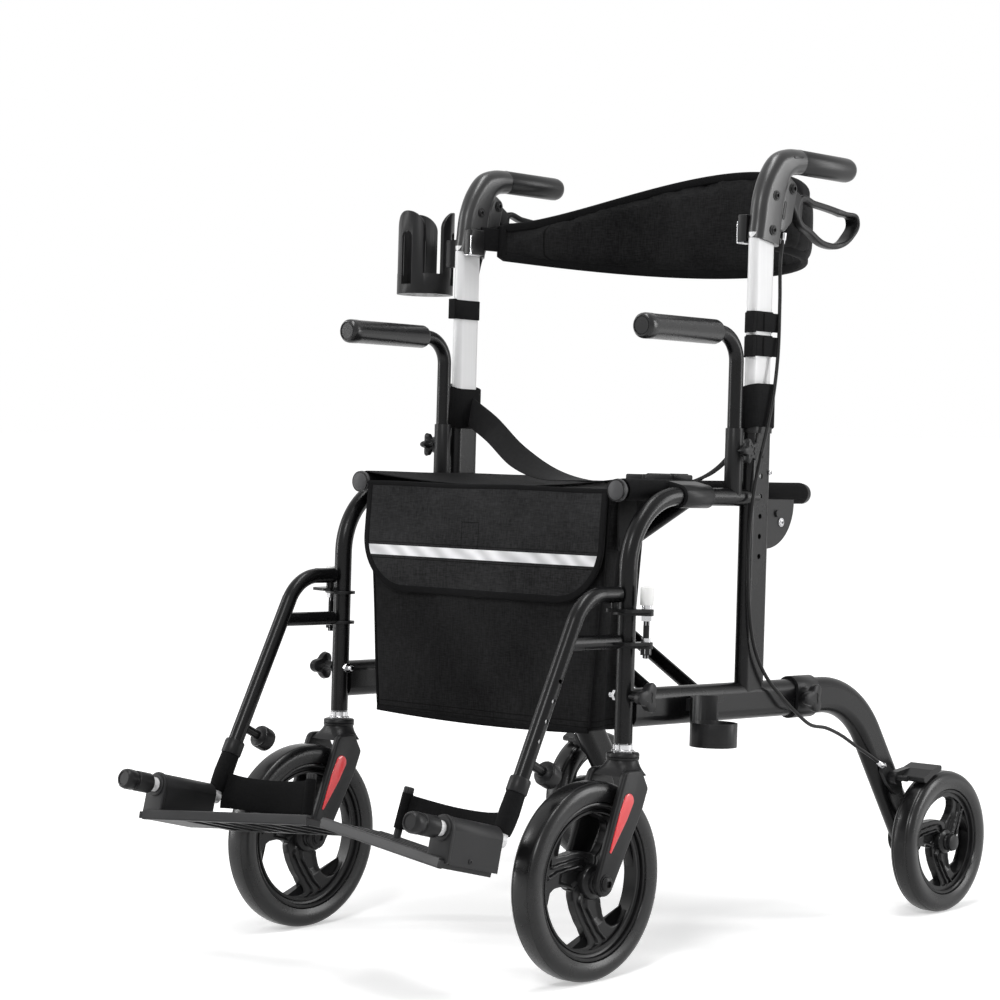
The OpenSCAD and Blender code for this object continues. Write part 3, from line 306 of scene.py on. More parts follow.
def through(points, count, closed=False):
    """An even walk along a smooth curve through points: cubic spans whose slopes come from the neighbouring
    points."""
    p = np.asarray(points, float)
    pad = np.concatenate([p[-3:], p, p[:3]]) if closed else p
    d = steps_along(pad[:, :3])
    slope = np.gradient(pad, d, axis=0)
    t = np.linspace(d[3], d[3 + len(p)], count, endpoint=False) if closed else np.linspace(0, d[-1], count)
    k = np.clip(np.searchsorted(d, t, "right") - 1, 0, len(d) - 2)
    h = (d[k + 1] - d[k])[:, None]
    s = (t - d[k])[:, None] / h
    return ((2 * s**3 - 3 * s**2 + 1) * pad[k] + (s**3 - 2 * s**2 + s) * h * slope[k]
            + (3 * s**2 - 2 * s**3) * pad[k + 1] + (s**3 - s**2) * h * slope[k + 1])


def round_bar(wide, thick, edge, count=32):
    """The outline of a bar with rounded edges: a circle of the edge's radius, pushed out to the four corners.
    Sizes that change along a run give one outline each."""
    wide, thick, edge = np.broadcast_arrays(*(np.asarray(v, float)[..., None] for v in (wide, thick, edge)))
    a = (np.arange(count) + 0.5) * 2 * np.pi / count
    return np.stack([np.sign(np.cos(a)) * (wide / 2 - edge) + edge * np.cos(a),
                     np.sign(np.sin(a)) * (thick / 2 - edge) + edge * np.sin(a)], -1)


def shrink_wrap(discs, count=120):
    """The outline of a band stretched round discs (y, z, radius): in each direction, the edge of the disc that
    reaches furthest."""
    d = np.asarray(discs, float)
    a = np.arange(count) * 2 * np.pi / count
    n = np.stack([np.cos(a), np.sin(a)], -1)
    best = np.argmax(n @ d[:, :2].T + d[:, 2], 1)
    return d[best, :2] + d[best, 2:] * n


def moulding(outline, x0, x1, edge, steps=4):
    """A flat moulding with rounded edges: an outline in y and z, extruded from x0 to x1 and drawn in along a
    quarter circle at both faces."""
    outline = np.asarray(outline, float)
    along = np.roll(outline, -1, 0) - np.roll(outline, 1, 0)
    out = np.stack([along[:, 1], -along[:, 0]], -1) / np.maximum(np.linalg.norm(along, axis=1), 1e-9)[:, None]
    a = np.linspace(0, np.pi / 2, steps)
    x = np.concatenate([x0 + edge * (1 - np.sin(a[::-1])), x1 - edge * (1 - np.sin(a))])
    inset = np.concatenate([edge * (1 - np.cos(a[::-1])), edge * (1 - np.cos(a))])
    ring = outline[None] - inset[:, None, None] * out[None]
    return skin(np.concatenate([np.broadcast_to(x[:, None, None], ring.shape[:2] + (1,)), ring], -1))


def bright_metal(name, colour, rough):
    s = Shade(name)
    brushed = s.noise(90, 3, (1, 1, 6))
    return s.wear(Base_Color=s.tint(brushed, tuple(0.86 * c for c in colour), colour), Metallic=1.0,
                  Roughness=rough + brushed * 0.10)


def red_insert_look():
    s = Shade("red_insert")
    return s.wear(Base_Color=s.tint(s.noise(40), (0.56, 0.008, 0.014), (0.72, 0.016, 0.022)), Roughness=0.28,
                  Coat_Weight=0.4)


tyre_black = moulded("smooth_black_tyre", (0.004, 0.004, 0.0042), (0.008, 0.008, 0.0085), 0.24,
                     700, 0.3, (60, 4), 0.08, (0.0002, 0.1))
wheel_black = moulded("moulded_black_wheel", (0.005, 0.005, 0.0053), (0.010, 0.010, 0.0105), 0.24, 900, 0.2)
satin_black = moulded("satin_black_moulding", (0.008, 0.008, 0.0085), (0.015, 0.015, 0.0155), 0.32)
zinc = bright_metal("bright_zinc", (0.50, 0.50, 0.51), 0.12)
insert_red = red_insert_look()

FRONT_R, FRONT_WIDE, FRONT_HUB = 127, 38, 43
REAR_X, REAR_R, REAR_WIDE, REAR_HUB = 326, 101.5, 36, 41
SPOKE_ON = ((20, 185), (33, 194), (38, 221), (47, 243), (59, 260), (74, 270), (80, 270.5), (83, 266), (86, 251),
            (88, 240))
SPOKE_OFF = ((20, 305), (33, 314), (39, 307), (52, 302), (67, 302.5), (77.5, 307), (84, 316), (86.5, 327),
             (88, 338))
SPOKE_THICK, RIB_TALL, RIB_HALF, RIB_AT, POCKET_DEEP = 6.6, 3.6, 2.3, (0.30, 0.54), 4.2


def wheel_surfaces(x, y, z, r, wide, hub):
    """Tyre, rim, hub and spokes of a wheel about x. Tyre, rim and hub are turned profiles of (sideways, radius).
    Each spoke fills the disc between two swept edges, given as angles by radius. Two ribs run along its middle,
    beside a pocket at the hub."""
    w, h, f = wide / 2, hub / 2, r / FRONT_R

    def two_faced(half, count=144):
        return turned(half + [(-u, q) for u, q in half[::-1]], (x, y, z), SIDEWAYS, count, ring=True)

    tyre = two_faced([(-w + 6, r - 27), (-w + 2.6, r - 25.4), (-w + 1.0, r - 20), (-w, r - 13), (-w + 0.8, r - 7),
                      (-w + 2.6, r - 3.6), (-w + 5.4, r - 1.7), (-w + 6.6, r - 1.3), (-w + 7.2, r - 2.0),
                      (-w + 8.0, r - 1.0), (-w * 0.4, r - 0.2)])
    rim = two_faced([(-w + 7, r - 26), (-w + 4.2, r - 27), (-w + 3.8, r - 29), (-w + 5, r - 30.6),
                     (-w + 9.5, r - 31.4), (-w + 10.4, r - 33), (-w + 10.4, r - 35.4), (-w + 8.6, r - 36.6),
                     (-w + 8.6, r - 39 * f), (-w + 9.6, r - 40.2 * f)])
    nave = two_faced([(-h, 8), (-h, 13.5 * f), (-h + 1.2, 14.8 * f), (-h + 5, 15.2 * f), (-h + 6.4, 17.5 * f),
                      (-h + 7.6, 21 * f), (-h + 10, 22.5 * f)], 64)
    reach = np.concatenate([np.linspace(19, 80, 46), np.linspace(81, 88, 12)])
    on, off = (np.interp(reach, *np.array(edge, float).T) for edge in (SPOKE_ON, SPOKE_OFF))
    smooth = np.array((0.06, 0.24, 0.4, 0.24, 0.06))
    on, off = (np.convolve(np.pad(e, 2, "edge"), smooth, "valid") for e in (on, off))
    u = np.linspace(0, 1, 57)
    turn = np.radians(on[:, None] + (off - on)[:, None] * u)
    arc = (np.radians(off - on) * reach)[:, None]
    rib = sum(np.exp(-((u - at) * arc / RIB_HALF) ** 4) for at in RIB_AT)
    pocket = (np.clip((60 - reach) / 8, 0, 1)[:, None] / (1 + np.exp(-(u - 0.64) * arc / 0.7))
              / (1 + np.exp(-((1 - u) * arc - 4) / 0.7)))
    fade = np.clip((88 - reach) / 5, 0, 1)[:, None]
    thick = (SPOKE_THICK + fade * (RIB_TALL * rib - POCKET_DEEP * pocket)
             - 1.2 * np.exp(-(np.minimum(u, 1 - u) * arc / 1.6) ** 2))
    spokes = []
    for k in range(3):
        a = turn + 2 * np.pi * k / 3
        flat = np.stack([y + f * reach[:, None] * np.cos(a), z + f * reach[:, None] * np.sin(a)], -1)
        face, rear = (np.concatenate([(x + e * thick)[..., None], flat], -1) for e in (1, -1))
        spokes.append(skin(np.concatenate([face[:, ::-1], rear], 1)))
    return [tyre], [rim, nave, *spokes]


def bolt_head(at, axis, r, tall=4.0, washer=0.0):
    """A domed head with a socket, on a washer, turned about its axis."""
    rim = [(0, r * washer), (1.2, r * washer), (1.2, r)] if washer else [(0, r)]
    a = np.linspace(0.15, np.pi / 2 - 0.02, 7)
    dome = [(tall * 0.45 + tall * 0.55 * np.sin(b), r * np.cos(b)) for b in a]
    return turned(rim + dome[:-2] + [(tall, r * 0.46), (tall * 0.45, r * 0.42)], at, axis, 28)


post_x, post_y, crown = CROWN = POST - (0, 0, 16)
FORK_IN, FORK_OUT = 22.6, 33
y, z = level_of(-362, FRONT_R)
tyre, web = wheel_surfaces(post_x, y, z, FRONT_R, FRONT_WIDE, FRONT_HUB)
both("front_tyre", tyre, "front_wheel", tyre_black, "front_wheel")
both("front_wheel_web", web, "front_wheel", wheel_black)
leg_edge = shrink_wrap([(post_y + 6, crown - 40, 8), (post_y - 3, crown - 22, 7), (post_y - 22, crown - 28, 13),
                        (post_y - 15, crown - 60, 20), (y, z, 16.5)])
comma = shrink_wrap([(post_y - 26, crown - 53, 9.5), (post_y - 36, crown - 72, 8.6), (post_y - 59, crown - 115, 1.6)])
legs, inserts = [], []
for face in (-1, 1):
    legs.append(moulding(leg_edge, *sorted((post_x + face * FORK_IN, post_x + face * FORK_OUT)), 3.4))
    outer = post_x + face * FORK_OUT
    inserts.append(moulding(comma, *sorted((outer - face * 0.4, outer + face * 1.2)), 0.6))
k = np.linspace(0, 1, 12) ** 0.8
bell = round_bar(40 + 25.6 * k**2, 40 + 5 * k**2, 20 - 11 * k**2, 72)
bell = np.concatenate([bell, np.broadcast_to(-(1 + 22 * k)[:, None, None], bell.shape[:2] + (1,))], -1)
legs.append(skin((bell + np.stack([0 * k, -8 * k**2, 0 * k], -1)[:, None] + CROWN)[::-1]))
legs.append(turned([(-5, 20.4), (-4, 21.4), (-1.4, 21.6), (-0.8, 20.6), (-0.2, 21.6), (3.4, 21.4), (4.6, 20.4),
                    (5.2, 18)], CROWN, UPWARD, 64))
both("fork", legs, "caster", satin_black, "caster_fork")
both("fork_inserts", inserts, "caster", insert_red)
collar = [(4, 14.4), (7.4, 14.8), (8, 14.4), (8.4, 12.6), (14.4, 12.6), (14.8, 12), (15, TIP)]
stem = [turned(collar, CROWN + 0.2 * UPWARD, UPWARD, 48), turned([(15, 7.9), (50, 7.9)], CROWN, UPWARD, 32)]
both("caster_collar", stem, "caster", zinc)
bolts = [bolt_head((post_x + f * FORK_OUT, y, z), f * SIDEWAYS, 9.5, 6, 1.25) for f in (-1, 1)]
bolts.append(turned([(-FORK_OUT, 4.9), (FORK_OUT, 4.9)], (post_x, y, z), SIDEWAYS, 24))
both("caster_bolts", bolts, "caster", satin_black)

y, z = level_of(344, REAR_R)
tyre, web = wheel_surfaces(REAR_X, y, z, REAR_R, REAR_WIDE, REAR_HUB)
both("rear_tyre", tyre, "rear_wheel", tyre_black, "rear_wheel")
both("rear_wheel_web", web, "rear_wheel", wheel_black)
hub_cap = [(20.6, 12), (23, 12.6), (26.5, 11.6), (27.4, 9), (27.5, TIP)]
both("rear_hub_cap", [turned(hub_cap, (REAR_X, y, z), SIDEWAYS, 40)], "rear_wheel", satin_black)


# Handles: a white anodised tube in each upright, with a cast elbow on its top, a foam grip and a looped brake
# lever behind the elbow. A black clip with a zinc edge takes the backrest's end.
def anodised():
    s = Shade("white_anodised_tube")
    drawn = s.noise(300, 2, (1, 1, 0.02))
    return s.wear(Base_Color=s.tint(drawn, (0.66, 0.66, 0.665), (0.74, 0.74, 0.745)), Roughness=0.24 + drawn * 0.12,
                  Specular_IOR_Level=0.4, Normal=s.relief(drawn, 0.0001, 0.2))


def foam():
    s = Shade("soft_grip_foam")
    pores = s.noise(900, 3)
    handled = s.noise(18, 3)
    return s.wear(Base_Color=s.tint(handled, (0.007, 0.007, 0.0075), (0.013, 0.013, 0.0135)),
                  Roughness=0.28 + pores * 0.10, Specular_IOR_Level=0.25, Normal=s.relief(pores, 0.0003, 0.25))


def rounded_box(y0, y1, z0, z1, r):
    """The outline of a box with round corners: a band round four discs."""
    return shrink_wrap([(y0 + r, z0 + r, r), (y1 - r, z0 + r, r), (y1 - r, z1 - r, r), (y0 + r, z1 - r, r)], 48)


white_tube = anodised()
casting_grey = moulded("satin_grey_casting", (0.010, 0.010, 0.0105), (0.016, 0.016, 0.0165), 0.28, 800, 0.45)
HANDLE_X = 270.0
GRIP_AT = np.array((HANDLE_X, 38, 1072))
LEVER_AT = np.array((14.0, 1033.0))
# Each place of the elbow's middle line, and how deep and how wide the casting is there.
ELBOW = [(HANDLE_X, -36, 957, 54, 26), (HANDLE_X, -33, 975, 54, 26), (HANDLE_X, -27, 1017, 52, 27),
         (HANDLE_X, -17, 1042, 48, 29), (HANDLE_X, -3, 1061, 42, 31), (HANDLE_X, 15, 1069, 37, 33),
         (*GRIP_AT, 34, 34)]
LEVER_LOOP = [(30, -11), (60, -14.5), (96, -18), (130, -22.5), (156, -27), (158, -34), (144, -54), (130, -64),
              (112, -69), (96, -69), (82, -67), (52, -54), (27, -42), (22, -30), (25, -17)]

dress(white_tube, *paired("handle_tube"))
run = through(ELBOW, 48)
deep, wide = run[:, 3], run[:, 4]
elbow = [carry(run[:, :3], round_bar(wide, deep, np.minimum(deep, wide) / 2 - 0.3, 56)),
         moulding(shrink_wrap([(*LEVER_AT, 11), (-4, 1040, 14), (-6, 985, 12), (8, 992, 8)]), 259.5, 280.5, 3)]
both("elbow", elbow, "handle", casting_grey, "handle_casting")
fixings = [moulding(shrink_wrap([(10, 1075, 1.7), (27, 1076.5, 1.7)], 40), 284.8, 286.6, 0.4),
           moulding(shrink_wrap([(-2, 1012, 2.4), (-6, 992, 2.4)], 40), 280.2, 281.4, 0.4),
           turned([(-0.6, 15.6), (-0.6, 17.25), (0.9, 17.25), (0.9, 15.6)], GRIP_AT, REARWARD, 48, ring=True)]
for f in (1, -1):
    fixings += [bolt_head((HANDLE_X + f * 13.1, y, z), f * SIDEWAYS, 5.2, 3.2, 1.35)
                for y, z in ((-27, 1020), (-32, 973))]
    fixings.append(bolt_head((HANDLE_X + f * 10.4, *LEVER_AT), f * SIDEWAYS, 6, 4, 1.3))
both("elbow_screws", fixings, "handle", wheel_black)
both("back_clip", [moulding(rounded_box(-60, -32, 955.6, 993, 2), 244.4, 259, 1.2)], "handle", wheel_black)
clip_edge = [moulding(rounded_box(-61, -58.6, 954.6, 984, 1), 243.8, 245.8, 0.5),
             moulding(rounded_box(-61, -40, 954.2, 956.2, 0.9), 243.8, 256, 0.5)]
both("clip_edge", clip_edge, "handle", zinc)
grip = [(0, 16.2), (1.2, 17), (108, 17), (113, 16.6), (117.5, 15.2), (120.5, 12.4), (122, 8), (122.2, TIP)]
both("grip", [turned(grip, GRIP_AT + 0.8 * REARWARD, REARWARD, 56)], "handle", foam(), "hand_grip")

loop = np.array(LEVER_LOOP, float) + LEVER_AT
path = through(np.column_stack([np.full(len(loop), HANDLE_X), loop]), 132, closed=True)
spoon = np.clip((path[:, 1] - LEVER_AT[0] - 112) / 34, 0, 1)
spoon = spoon * spoon * (3 - 2 * spoon)
lever = [carry(path, round_bar(13 + 10 * spoon, 8.4 - 2.6 * spoon, 2.6, 28), closed=True),
         moulding(shrink_wrap([(*LEVER_AT, 8), (40, 1020, 5.5), (38, 996, 5)]), 263.6, 276.4, 2.4)]
both("lever", lever, "brake_lever", satin_black, "brake_lever")


# Brake cables: black-sheathed wires from each lever down the upright, under the collar knob and back to
# the brake, with bright ferrules at both ends. They are clipped all the way.
CABLE = [(276, 2, 970), (278, -6, 940), (283, -12, 880), (288, -20, 800), (290, -30, 750), (290, -42, 705),
         (288, -56, 655), (287, -66, 605), (287, -71, 550), (287, -70, 500), (287, -64, 452), (287, -52, 412),
         (289, -28, 374), (293, 2, 346), (296, 34, 322), (295, 70, 303), (292, 112, 296), (290, 150, 284),
         (289, 190, 266), (289, 230, 248), (288, 257.5, 234.6)]
CABLE_R = 2.5
CABLE_FOOT, CABLE_FOOT_RUN = (288, 258.5, 234.1), (0, -0.9, 0.44)


def sheath():
    s = Shade("black_cable_sheath")
    ribs = s.noise(700, 2, (1, 1, 0.3))
    return s.wear(Base_Color=s.tint(ribs, (0.008, 0.008, 0.008), (0.016, 0.016, 0.0165)), Roughness=0.34 + ribs * 0.1,
                  Specular_IOR_Level=0.15)


def circle(r, count):
    a = np.arange(count) * 2 * np.pi / count
    return np.stack([r * np.cos(a), r * np.sin(a)], -1)


wires = both("cable", [carry(through(CABLE, 170), circle(CABLE_R, 14))], None, sheath(), "brake_cable")
for (side, s), wire in zip(SIDES, wires):
    low, high = stand((s * 288.0, -30, 720)), stand((s * 276.0, 2, 955))
    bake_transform(wire)
ferrule = [(0, 3.9), (9, 3.9), (10, 3.2), (14, 3.2), (15, 2.6)]
both("upper_ferrule", [turned(ferrule, (276, 2.4, 972), (0, -0.2, -1), 24)], "handle", zinc)
foot = [turned(ferrule, CABLE_FOOT, CABLE_FOOT_RUN, 24), turned([(-3, 5.4), (1, 5.4)], CABLE_FOOT, CABLE_FOOT_RUN, 6)]
both("lower_ferrule", foot, "frame", zinc)


# Hook-and-loop bands round the white tubes: woven tape with a lapped end, that ties the cables.
# Narrow webbing of the same black yarn serves the bag's tabs and the lap belt.
def band(low, high, wide, deep, inner, outer, slope):
    """A closed band round an oval upright: the tube's outline let out to the inner and the outer face at both
    edges, with soft corners. Slope tips the edges along x."""
    middle = (HANDLE_X, -40)
    rows = [(inner, low + 0.3), (inner + 0.4, low), (outer - 0.5, low), (outer, low + 0.8), (outer, (low + high) / 2),
            (outer, high - 0.8), (outer - 0.5, high), (inner + 0.4, high), (inner, high - 0.3)]
    rings = []
    for out, z in rows:
        ring = round_bar(wide + 2 * out, deep + 2 * out, (wide + 2 * out) / 2 - 0.05, 56) + middle
        rings.append(np.column_stack([ring, z + slope * (ring[:, 0] - HANDLE_X)]))
    return skin(rings, loop=True)


def tape():
    s = Shade("black_webbing")
    ribs = (s.lengths("UV")[0] * 3600).sine() * 0.5 + 0.5
    edge = s.noise(160, 3)
    return s.wear(Base_Color=s.tint(edge, (0.005, 0.005, 0.0053), (0.012, 0.012, 0.0125)), Roughness=0.78,
                  Specular_IOR_Level=0.1, Sheen_Weight=0.03, Normal=s.relief(ribs + edge, 0.0003, 0.45))


def hook_tape():
    s = Shade("hook_and_loop_tape")
    fluff = s.noise(520, 4)
    return s.wear(Base_Color=s.tint(fluff, (0.005, 0.005, 0.0053), (0.015, 0.015, 0.0155)), Roughness=0.9,
                  Specular_IOR_Level=0.08, Normal=s.relief(fluff, 0.0008, 0.6))


webbing = tape()
hook_black = hook_tape()
for side, s, low, high in (("right", -1, 862, 890), ("left", 1, 835, 862), ("left", 1, 802, 830)):
    wrap = [band(low, high, 17.2, 45.2, 0.2, 2.0, 0.12),
            moulding(rounded_box(-44, -8, low + 1, high - 0.5, 2), 280.4, 282.6, 0.6),
            moulding(rounded_box(-66.5, -60, low - 0.5, high + 1, 1), 268, 281, 0.8)]
    piece(f"{side}_tie_{low}", wrap, f"{side}_handle", hook_black, s)


# Armrests: a black bent tube that slides in the frame's socket, with a firm moulded pad whose front end
# is a flat disc inside a raised rim.
arm_rubber = moulded("armrest_rubber", (0.008, 0.008, 0.0085), (0.014, 0.014, 0.0145), 0.22,
                     1100, 0.28, (30, 3), 0.10, (0.0002, 0.12))
arm_pad = [(0, 13), (1.6, 15.4), (5, 16.5), (138, 16.5), (139, 16.9), (150, 16.9), (154, 16.2), (156.6, 14.2),
           (157, 12.6), (155.8, 12.2), (155.8, 11.4), (156.4, 11)]
both("arm_pad", [turned(arm_pad, (268.2, -130, 831), -REARWARD, 64)], "armrest", arm_rubber, "armrest_pad")


# Knobs and hardware of the side frames: three-winged hand knobs with bright studs, a five-lobed armrest
# knob, white caps and zinc nuts on the hanger pins, and the moulded collar, saddle, guard and socket.
PIN_X, PIN_Y, PIN_TOP = 288, -284, 473.5
POST_STUD = np.array((248, -290, 356))


def hand_knob(at, stem, reach, lobes, thick):
    """A hand knob about x: a stem, a flared neck and a lobed head with a shallow dished face."""
    face = stem + thick
    head = [(0, 6), (stem - 2, 6.2), (stem, 7.6), (stem + 1.4, reach * 0.58), (stem + 3, reach * 0.74),
            (face - 3, reach * 0.80), (face - 1, reach * 0.76), (face, reach * 0.66), (face, 6.6), (face - 0.9, 6.2)]
    return turned(head, at, SIDEWAYS, 96, lobes, 0.27)


dress(satin_black, *paired("fittings"), round_edge=0.0009)
dress(satin_black, "cane_cup", *paired("brake_bracket", "brake_shoe"), round_edge=0.001)
dress(satin_black, "cup_holder", round_edge=0.0012)
knobs = [hand_knob((272.3, -290, 356), 17, 21, 3, 13), hand_knob((288.3, 64, 340), 6, 21, 3, 13),
         hand_knob((280.4, -85, 675), 6, 17.5, 5, 12)]
both("hand_knobs", knobs, "frame", satin_black, "knobs")
studs = [turned([(0, 4), (11, 4), (12, 3)], POST_STUD, -SIDEWAYS, 20),
         turned([(0, 7.4), (4.5, 7.4)], POST_STUD + 0.2 * SIDEWAYS, -SIDEWAYS, 6)]
for top in (418, 460):
    studs += [turned([(0, 7.2), (6.5, 7.2), (6.5, 4.2), (12, 4.2), (12.6, 3)], (PIN_X, PIN_Y, top - 0.2), -UPWARD, 6),
              turned([(0, 6.4), (5, 6.4), (5.4, 3.6), (10, 3.6)], (PIN_X, PIN_Y, top + 8.6), UPWARD, 24)]
both("studs", studs, "frame", zinc)
cap_white = moulded("white_cap", (0.78, 0.78, 0.77), (0.86, 0.86, 0.85), 0.35)
pin_cap = [(0, 8.3), (1, 8.8), (21.6, 8.8), (23.2, 8.3), (24, 7), (24.3, TIP)]
both("pin_cap", [turned(pin_cap, (PIN_X, PIN_Y, PIN_TOP), UPWARD, 36)], "frame", cap_white)
guard = [bolt_head((273.2, 18, 580), SIDEWAYS, 4.6, 3, 1.3), bolt_head((282.2, -22, 647), SIDEWAYS, 3.4, 2)]
both("guard_screws", guard, "frame", zinc)


# Seat rails and the fold: black tubes with grey mushroom plugs in front and moulded black ends behind.
# The left rail swings with one pair of cross arms, the right rail with the other.
RAIL_X, RAIL_Z, RAIL_FRONT, RAIL_REAR = 234.0, 619.0, -281.6, 93
plug_grey = moulded("grey_plug", (0.050, 0.050, 0.052), (0.070, 0.070, 0.072), 0.42)
plug = [(0, 14.7), (2, 15.2), (4.4, 14.6), (7, 12), (8.8, 8), (9.4, TIP)]
plug = turned(plug, (RAIL_X, RAIL_FRONT, RAIL_Z), -REARWARD, 48)
rail_end = [(0, 12.6), (0, 13.9), (1, 14.3), (26, 14.3), (29, 13.4), (31, 10.5), (31.6, TIP)]
rail_end = turned(rail_end, (RAIL_X, RAIL_REAR, RAIL_Z), REARWARD, 48)
for (side, s), arm in zip(SIDES, ("arm_b", "arm_a")):
    piece(f"{side}_rail_plug", [plug], arm, plug_grey, s)
    piece(f"{side}_rail_end", [rail_end], arm, satin_black, s)


# Footrests: a white tube slides in each black hanger and carries a white hinge rod with a black end cap.
# A moulded plate hangs on the rod, with a bar along its front edge, a heel post and a sewn heel strap.
HINGE = np.array((260.0, -520.9, 189.9))
KNEE = np.array((260.0, -392.9, 452.3))
LEG_LEAN, HINGE_RISE, PLATE_TILT = (math.radians(a) for a in (26, 12.5, 6))
LEG_RUN = np.array((0.0, -math.sin(LEG_LEAN), -math.cos(LEG_LEAN)))
LEG_REAR = (0, math.cos(LEG_LEAN), -math.sin(LEG_LEAN))
HINGE_RUN = np.array((0.0, -math.cos(HINGE_RISE), math.sin(HINGE_RISE)))
HEEL_POST = np.array((-175, 6, 20))


def at_hinge(p, tilt=0.0):
    """From the footplate's own lengths to level millimetres: tipped sideways about y, then raised forward about
    x, then moved to the hinge."""
    p = np.asarray(p, float)
    c, s = math.cos(tilt), math.sin(tilt)
    x, y, z = p[..., 0] * c + p[..., 2] * s, p[..., 1], p[..., 2] * c - p[..., 0] * s
    c, s = math.cos(HINGE_RISE), math.sin(HINGE_RISE)
    return HINGE + np.stack([x, y * c + z * s, z * c - y * s], -1)


def on_plate(surface, tilt=PLATE_TILT):
    points, faces = surface
    return at_hinge(points, tilt), faces


def plate_edge(x, front):
    """The plate's front or rear edge, which sweeps back towards the middle of the chair."""
    return -113 + 50 * (18 - x) / 263.5 if front else 11 + 50 * (-30 - x) / 215.5


def sewn_cloth(name, dark, light, flat=False, lines=None):
    """Plain-woven polyester: threads crossing at the pitch of the weave, slubs, a broad mottle, and sewn lines
    that sink and darken it."""
    s = Shade(name)
    x, y, z = s.lengths()
    a, b = (x, y) if flat else (x + y, z)
    weave = (a * 3300).sine() * (b * 3300).sine()
    slub = s.noise(620, 3, (0.16, 0.16, 1)) * 0.5 + s.noise(620, 3, (1, 1, 0.12)) * 0.5
    height = weave * 0.35 + slub
    colour = s.tint((s.noise(7, 4) * 1.3 + slub * 2.4 - 1.35).most(0.0).least(1.0), dark, light)
    if lines:
        sewn = lines(x, z)
        height = height - sewn * 2.5
        colour = s.mix(sewn * 0.7, colour, (0.002, 0.002, 0.002, 1))
    return s.wear(Base_Color=colour, Roughness=0.62 + slub * 0.24, Specular_IOR_Level=0.04,
                  Normal=s.relief(height, 0.0004, 0.5))


plate_grey = moulded("footplate_black", (0.013, 0.013, 0.0135), (0.024, 0.024, 0.025), 0.40, 600)
bar_grey = moulded("footplate_bar_grey", (0.030, 0.030, 0.031), (0.044, 0.044, 0.045), 0.36, 700)
strap_cloth = sewn_cloth("heel_strap_cloth", (0.005, 0.005, 0.0053), (0.011, 0.011, 0.0115))
dress(satin_black, *paired("hinge_bush"))
dress(plate_grey, *paired("footplate"), round_edge=0.0008)
leg = [turned([(95, 8.4), (292, 8.4), (297, 7), (299.5, 4), (300.4, TIP)], KNEE, LEG_RUN, 40),
       turned([(-6, 6), (-4, 9.4), (119.5, 9.4)], HINGE, HINGE_RUN, 40)]
both("leg", leg, "leg", white_tube, "leg_tube")
rod_cap = [(119, 12.2), (120.4, 13.3), (142, 13.3), (143, 12.6), (143.6, 11.4), (147, 11.4), (147.6, 12.8),
           (148.6, 13.4), (158, 13.4), (162, 12.4), (164, 10.4), (164, 8.8), (163, 8.4)]
both("rod_cap", [turned(rod_cap, HINGE, HINGE_RUN, 44)], "leg", satin_black)
sleeve = [(229, 8.6), (229, 11.6), (232, 12.4), (256, 13.2), (272, 12.4), (281, 11.2), (284, 10.4), (284, 8.6)]
both("leg_sleeve", [turned(sleeve, KNEE, LEG_RUN, 40, ring=True)], "leg", strap_cloth)
pull = [(33, 7), (35, 9), (36, 14.4), (37.5, 15.7), (40, 16), (50, 16), (53.4, 15), (54.8, 12.6), (54.8, 10.8),
        (53.8, 10.2)]
both("pull_knob", [turned(pull, KNEE + 188 * LEG_RUN, LEG_REAR, 48, 12, 0.012)], "hanger", satin_black)
ferrule = [(211, 10.6), (211, 13), (213, 13.7), (229, 13.7), (230.6, 13), (230.6, 10.6)]
both("ferrule", [turned(ferrule, KNEE, LEG_RUN, 44, ring=True)], "hanger", satin_black)

x = np.linspace(14, -243, 60)
edge = np.stack([x, plate_edge(x, True) + 4.2, np.full_like(x, -39.6)], -1)
both("plate_bar", [on_plate(carry(edge, round_bar(13.4, 8.4, 2.2, 28), UPWARD))], "footplate", bar_grey)
x = np.linspace(-4, -236, 40)
trim = []
for f in (0.2, 0.36, 0.52, 0.68, 0.84):
    y = plate_edge(x, True) * (1 - f) + plate_edge(np.minimum(x, -30), False) * f
    keep = (x < -34) | (f < 0.7)
    strip = np.stack([x, y, np.full_like(x, -35.7)], -1)[keep]
    trim.append(on_plate(carry(strip, round_bar(2.0, 4.4, 0.9, 16), UPWARD)))
points, faces = moulding(shrink_wrap([(0, 0, 17.4), (-37, 13.4, 4), (-37, -13.4, 4)], 72), -106, -99.8, 1.6)
trim.append((at_hinge(points[:, (2, 0, 1)]), faces))
trim.append(turned([(99, 9.9), (99, 15), (107.5, 15), (108.6, 13.8), (108.6, 9.9)], HINGE, HINGE_RUN, 48, ring=True))
trim.append(on_plate(bolt_head((16.1, -64, -33), SIDEWAYS, 3.2, 1.6), 0.0))
post_knob = [(0, 6), (1, 6.6), (9.5, 6.6), (11, 5.4)]
trim.append(on_plate(turned(post_knob, HEEL_POST, UPWARD, 60, 12, 0.05)))
both("plate_trim", trim, "footplate", plate_grey)

